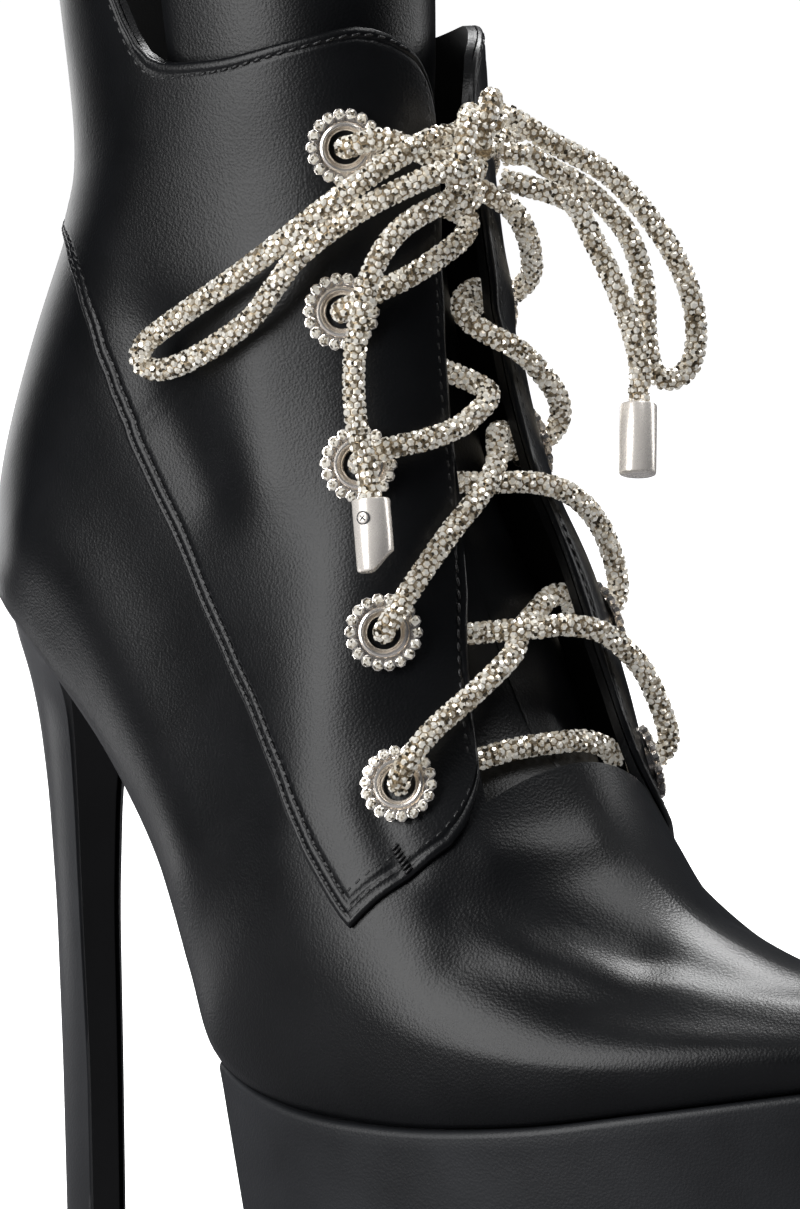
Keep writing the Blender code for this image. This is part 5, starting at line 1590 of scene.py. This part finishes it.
class BOOTIE_OT_sole(bpy.types.Operator):
    """Platform, tread, waist cover and insole"""
    bl_idname = "bootie.sole"
    bl_label = "Sole"

    def execute(self, context):
        waist = self.sheet(WAIST_SPAN, WAIST_INSET, -SOLE_GAP - WAIST_COVER, -SOLE_GAP)
        insole = self.sheet(INSOLE_SPAN, INSOLE_INSET, SOLE_GAP, SOLE_GAP + INSOLE)
        for name, shape, finish, slot, node, sharp in (
                ("platform_cover", self.platform(), "platform_leather", "leather", "platform", 45.0),
                ("tread_sheet", self.tread(), "tread_rubber", "sole", "tread", 40.0),
                ("waist_sheet", waist, "tread_rubber", "sole", "waist_cover", 40.0),
                ("insole_sock", insole, "lining_leather", "lining", "insole", 40.0)):
            add_solid(name, shape, (finishes()[finish],), slot, node, sharp)
        return {"FINISHED"}

    @staticmethod
    def platform():
        """Covered platform with a rounded top rim."""
        rows, back = platform_rows()
        levels = [(RIM - RIM_ROUND * (1 - math.sin(a)), RIM_DROP * (1 - math.cos(a)))
                  for a in np.linspace(0.0, math.pi / 2, 6)]
        levels += [(RIM - DRAFT * share, share) for share in np.linspace(*WALL_SPAN, 12)]
        levels += [(RIM - DRAFT - LOW_ROUND, 1.0)]
        walls = []
        for outset, share in levels:
            pair = []
            for x, y, top in (line.T for line in sole_edges(rows, outset - RIM_TUCK * back[:, None])):
                low = sole_bottom(x) + TREAD + GAP
                pair.append(np.c_[x + UNDERCUT * back * share, y, top - GAP + share * (low - top + GAP)])
            walls.append(pair)
        lateral, medial = np.array(walls).transpose(1, 0, 2, 3)
        over = [lateral[0] + f * (medial[0] - lateral[0]) for f in (0.25, 0.5, 0.75)]
        under = [medial[-1] + f * (lateral[-1] - medial[-1]) for f in (0.25, 0.5, 0.75)]
        return loft(np.concatenate([lateral[::-1], over, medial, under]).transpose(1, 0, 2))

    @staticmethod
    def tread():
        """Outsole sheet, flat on the floor under the ball."""
        rows, back = platform_rows()

        def at(line, level):
            return np.c_[line[:, 0] + UNDERCUT * back, line[:, 1], sole_bottom(line[:, 0]) + level * TREAD]

        inner, outer = (sole_edges(rows, RIM - DRAFT - inset - RIM_TUCK * back[:, None])
                        for inset in (TREAD_ROUND, 0.0))
        levels = ((inner, 0.0), (outer, 0.12), (outer, 0.88), (inner, 1.0))
        rings = [at(lines[0], level) for lines, level in levels]
        rings.append(at((inner[0] + inner[1]) / 2, 1.0))
        rings += [at(lines[1], level) for lines, level in reversed(levels)]
        rings.append((rings[0] + rings[-1]) / 2)
        return loft(np.array(rings).transpose(1, 0, 2))

    @staticmethod
    def sheet(span, inset, low, high):
        """Sheet along the bottom of the last, between two heights square to it."""
        rows = np.linspace(*span, 80)
        lateral, medial = (last_point(rows, np.zeros(80), side) for side in (LATERAL, MEDIAL))
        step = -np.gradient(lateral + medial, axis=0)
        up = unit(np.c_[-step[:, 2], np.zeros(80), step[:, 0]])
        lateral[:, 1] += inset
        medial[:, 1] -= inset
        shift = np.array((0.0, SHEET_ROUND, 0.0))
        a, b = lateral + shift, medial - shift
        upper, lower = high - SHEET_BEVEL, low + SHEET_BEVEL
        order = ((lateral, upper), (a, high), ((a + b) / 2, high), (b, high), (medial, upper),
                 (medial, lower), (b, low), ((a + b) / 2, low), (a, low), (lateral, lower))
        return loft(np.array([line + height * up for line, height in order]).transpose(1, 0, 2))


def heel_plan(back, breast, half_width):
    """D-shaped ring in plan: a leather-covered round back, and a breast set in behind a lip."""
    turn = np.linspace(-math.pi / 2, math.pi / 2, BACK_POINTS)
    ring = np.c_[breast - (breast - back) * np.cos(turn), half_width * np.sin(turn)]
    ring[[0, -1], 0] -= BREAST_EDGE
    lip = np.array((1 - 0.3 * BREAST_LIP, 1 - BREAST_LIP, 1 - BREAST_LIP, 0.45))
    deep = np.array((0.0, 0.0, BREAST_DEEP, BREAST_DEEP))
    share = np.r_[lip, 0.0, -lip[::-1]]
    return np.vstack([ring, np.c_[breast - np.r_[deep, BREAST_DEEP, deep[::-1]], half_width * share]])


class BOOTIE_OT_heel(bpy.types.Operator):
    """Stiletto with covered back, lacquered breast and top piece"""
    bl_idname = "bootie.heel"
    bl_label = "Heel"

    def execute(self, context):
        materials = finishes()
        rings = self.stem()
        rings += self.seat(rings[-1])
        points, faces = loft(rings)
        around = len(rings[0])
        picks = [1 if BACK_POINTS < k % around <= around - 3 and k < (len(rings) - 1) * around else 0
                 for k in range(len(faces))]
        add_solid("heel_stiletto", (points, faces), (materials["heel_leather"], materials["breast_lacquer"]),
                  "heel_gloss", "heel", 45.0, picks)
        _, back, breast, half_width, _ = HEEL_ROWS[0]
        rings = []
        for inset, height in TOP_PIECE:
            plan = heel_plan(back + inset, breast - inset, half_width - inset)
            rings.append(np.c_[plan, np.full(len(plan), height)])
        add_solid("heel_top_piece", loft(rings), (materials["tread_rubber"],), "sole", "heel_tip", 45.0)
        return {"FINISHED"}

    @staticmethod
    def stem():
        """Rings from the top piece up to the flare under the seat."""
        low, rise = HEEL_SOFT_UP
        heights = np.r_[np.linspace(HEEL_ROWS[0, 0], HEEL_FLARE[0], 26),
                        np.linspace(HEEL_FLARE[1], HEEL_ROWS[-1, 0], 26)]
        soft = smooth((heights - low) / rise)
        sizes = np.mean([[np.interp(heights + d * soft, HEEL_ROWS[:, 0], column) for column in HEEL_ROWS.T[1:]]
                         for d in np.linspace(-HEEL_SOFT, HEEL_SOFT, 9)], axis=0).T
        rings = []
        for height, (back, breast, half_width, slope) in zip(heights, sizes):
            plan = heel_plan(back, breast, half_width)
            rings.append(np.c_[plan, height + slope * (plan[:, 0] - (back + breast) / 2)])
        return rings

    @staticmethod
    def seat(start):
        """Rings from the flare to the seat, which follows the bottom of the last."""
        line = last_rows(np.arange(ROW["instep"], CORNER + 0.01, 0.25))[::-1]

        def on_seat(plan):
            return np.c_[plan, np.interp(plan[:, 0], line[:, 0], line[:, 1]) - SOLE_GAP]

        back, breast, half_width = HEEL_SEAT_RING
        plan = heel_plan(back, breast, half_width)
        middle = np.array(((back + breast) / 2, 0.0))
        rings = [start + f * (on_seat(plan) - start) for f in (0.35, 0.7)]
        return rings + [on_seat(middle + share * (plan - middle)) for share in (1.0, 0.6, 0.25)]


class BOOTIE_PT_panel(bpy.types.Panel):
    """Steps and values of the bootie"""
    bl_label = "Platform bootie"
    bl_idname = "BOOTIE_PT_panel"
    bl_space_type = "VIEW_3D"
    bl_region_type = "UI"
    bl_category = "Bootie"

    def draw(self, context):
        for step in STEPS:
            self.layout.operator(step.bl_idname)
        for values in (context.scene.bootie_sizes, context.scene.bootie_colours):
            box = self.layout.box()
            for name in values.bl_rna.properties.keys():
                if name not in ("rna_type", "name"):
                    box.prop(values, name)


STEPS = (BOOTIE_OT_stage, BOOTIE_OT_bow, BOOTIE_OT_lacing, BOOTIE_OT_eyelets, BOOTIE_OT_upper,
         BOOTIE_OT_quarters, BOOTIE_OT_stitching, BOOTIE_OT_tongue, BOOTIE_OT_sole, BOOTIE_OT_heel)
CLASSES = (BootieSizes, BootieColours, *STEPS, BOOTIE_PT_panel)


def register():
    """Add the classes and the scene's values."""
    for item in CLASSES:
        bpy.utils.register_class(item)
    bpy.types.Scene.bootie_sizes = PointerProperty(type=BootieSizes)
    bpy.types.Scene.bootie_colours = PointerProperty(type=BootieColours)


def unregister():
    """Take the classes and the scene's values away."""
    del bpy.types.Scene.bootie_colours
    del bpy.types.Scene.bootie_sizes
    for item in reversed(CLASSES):
        bpy.utils.unregister_class(item)


def main():
    """Build the bootie on its stage."""
    register()
    for step in STEPS:
        group, name = step.bl_idname.split(".")
        getattr(getattr(bpy.ops, group), name)()


if __name__ == "__main__":
    main()
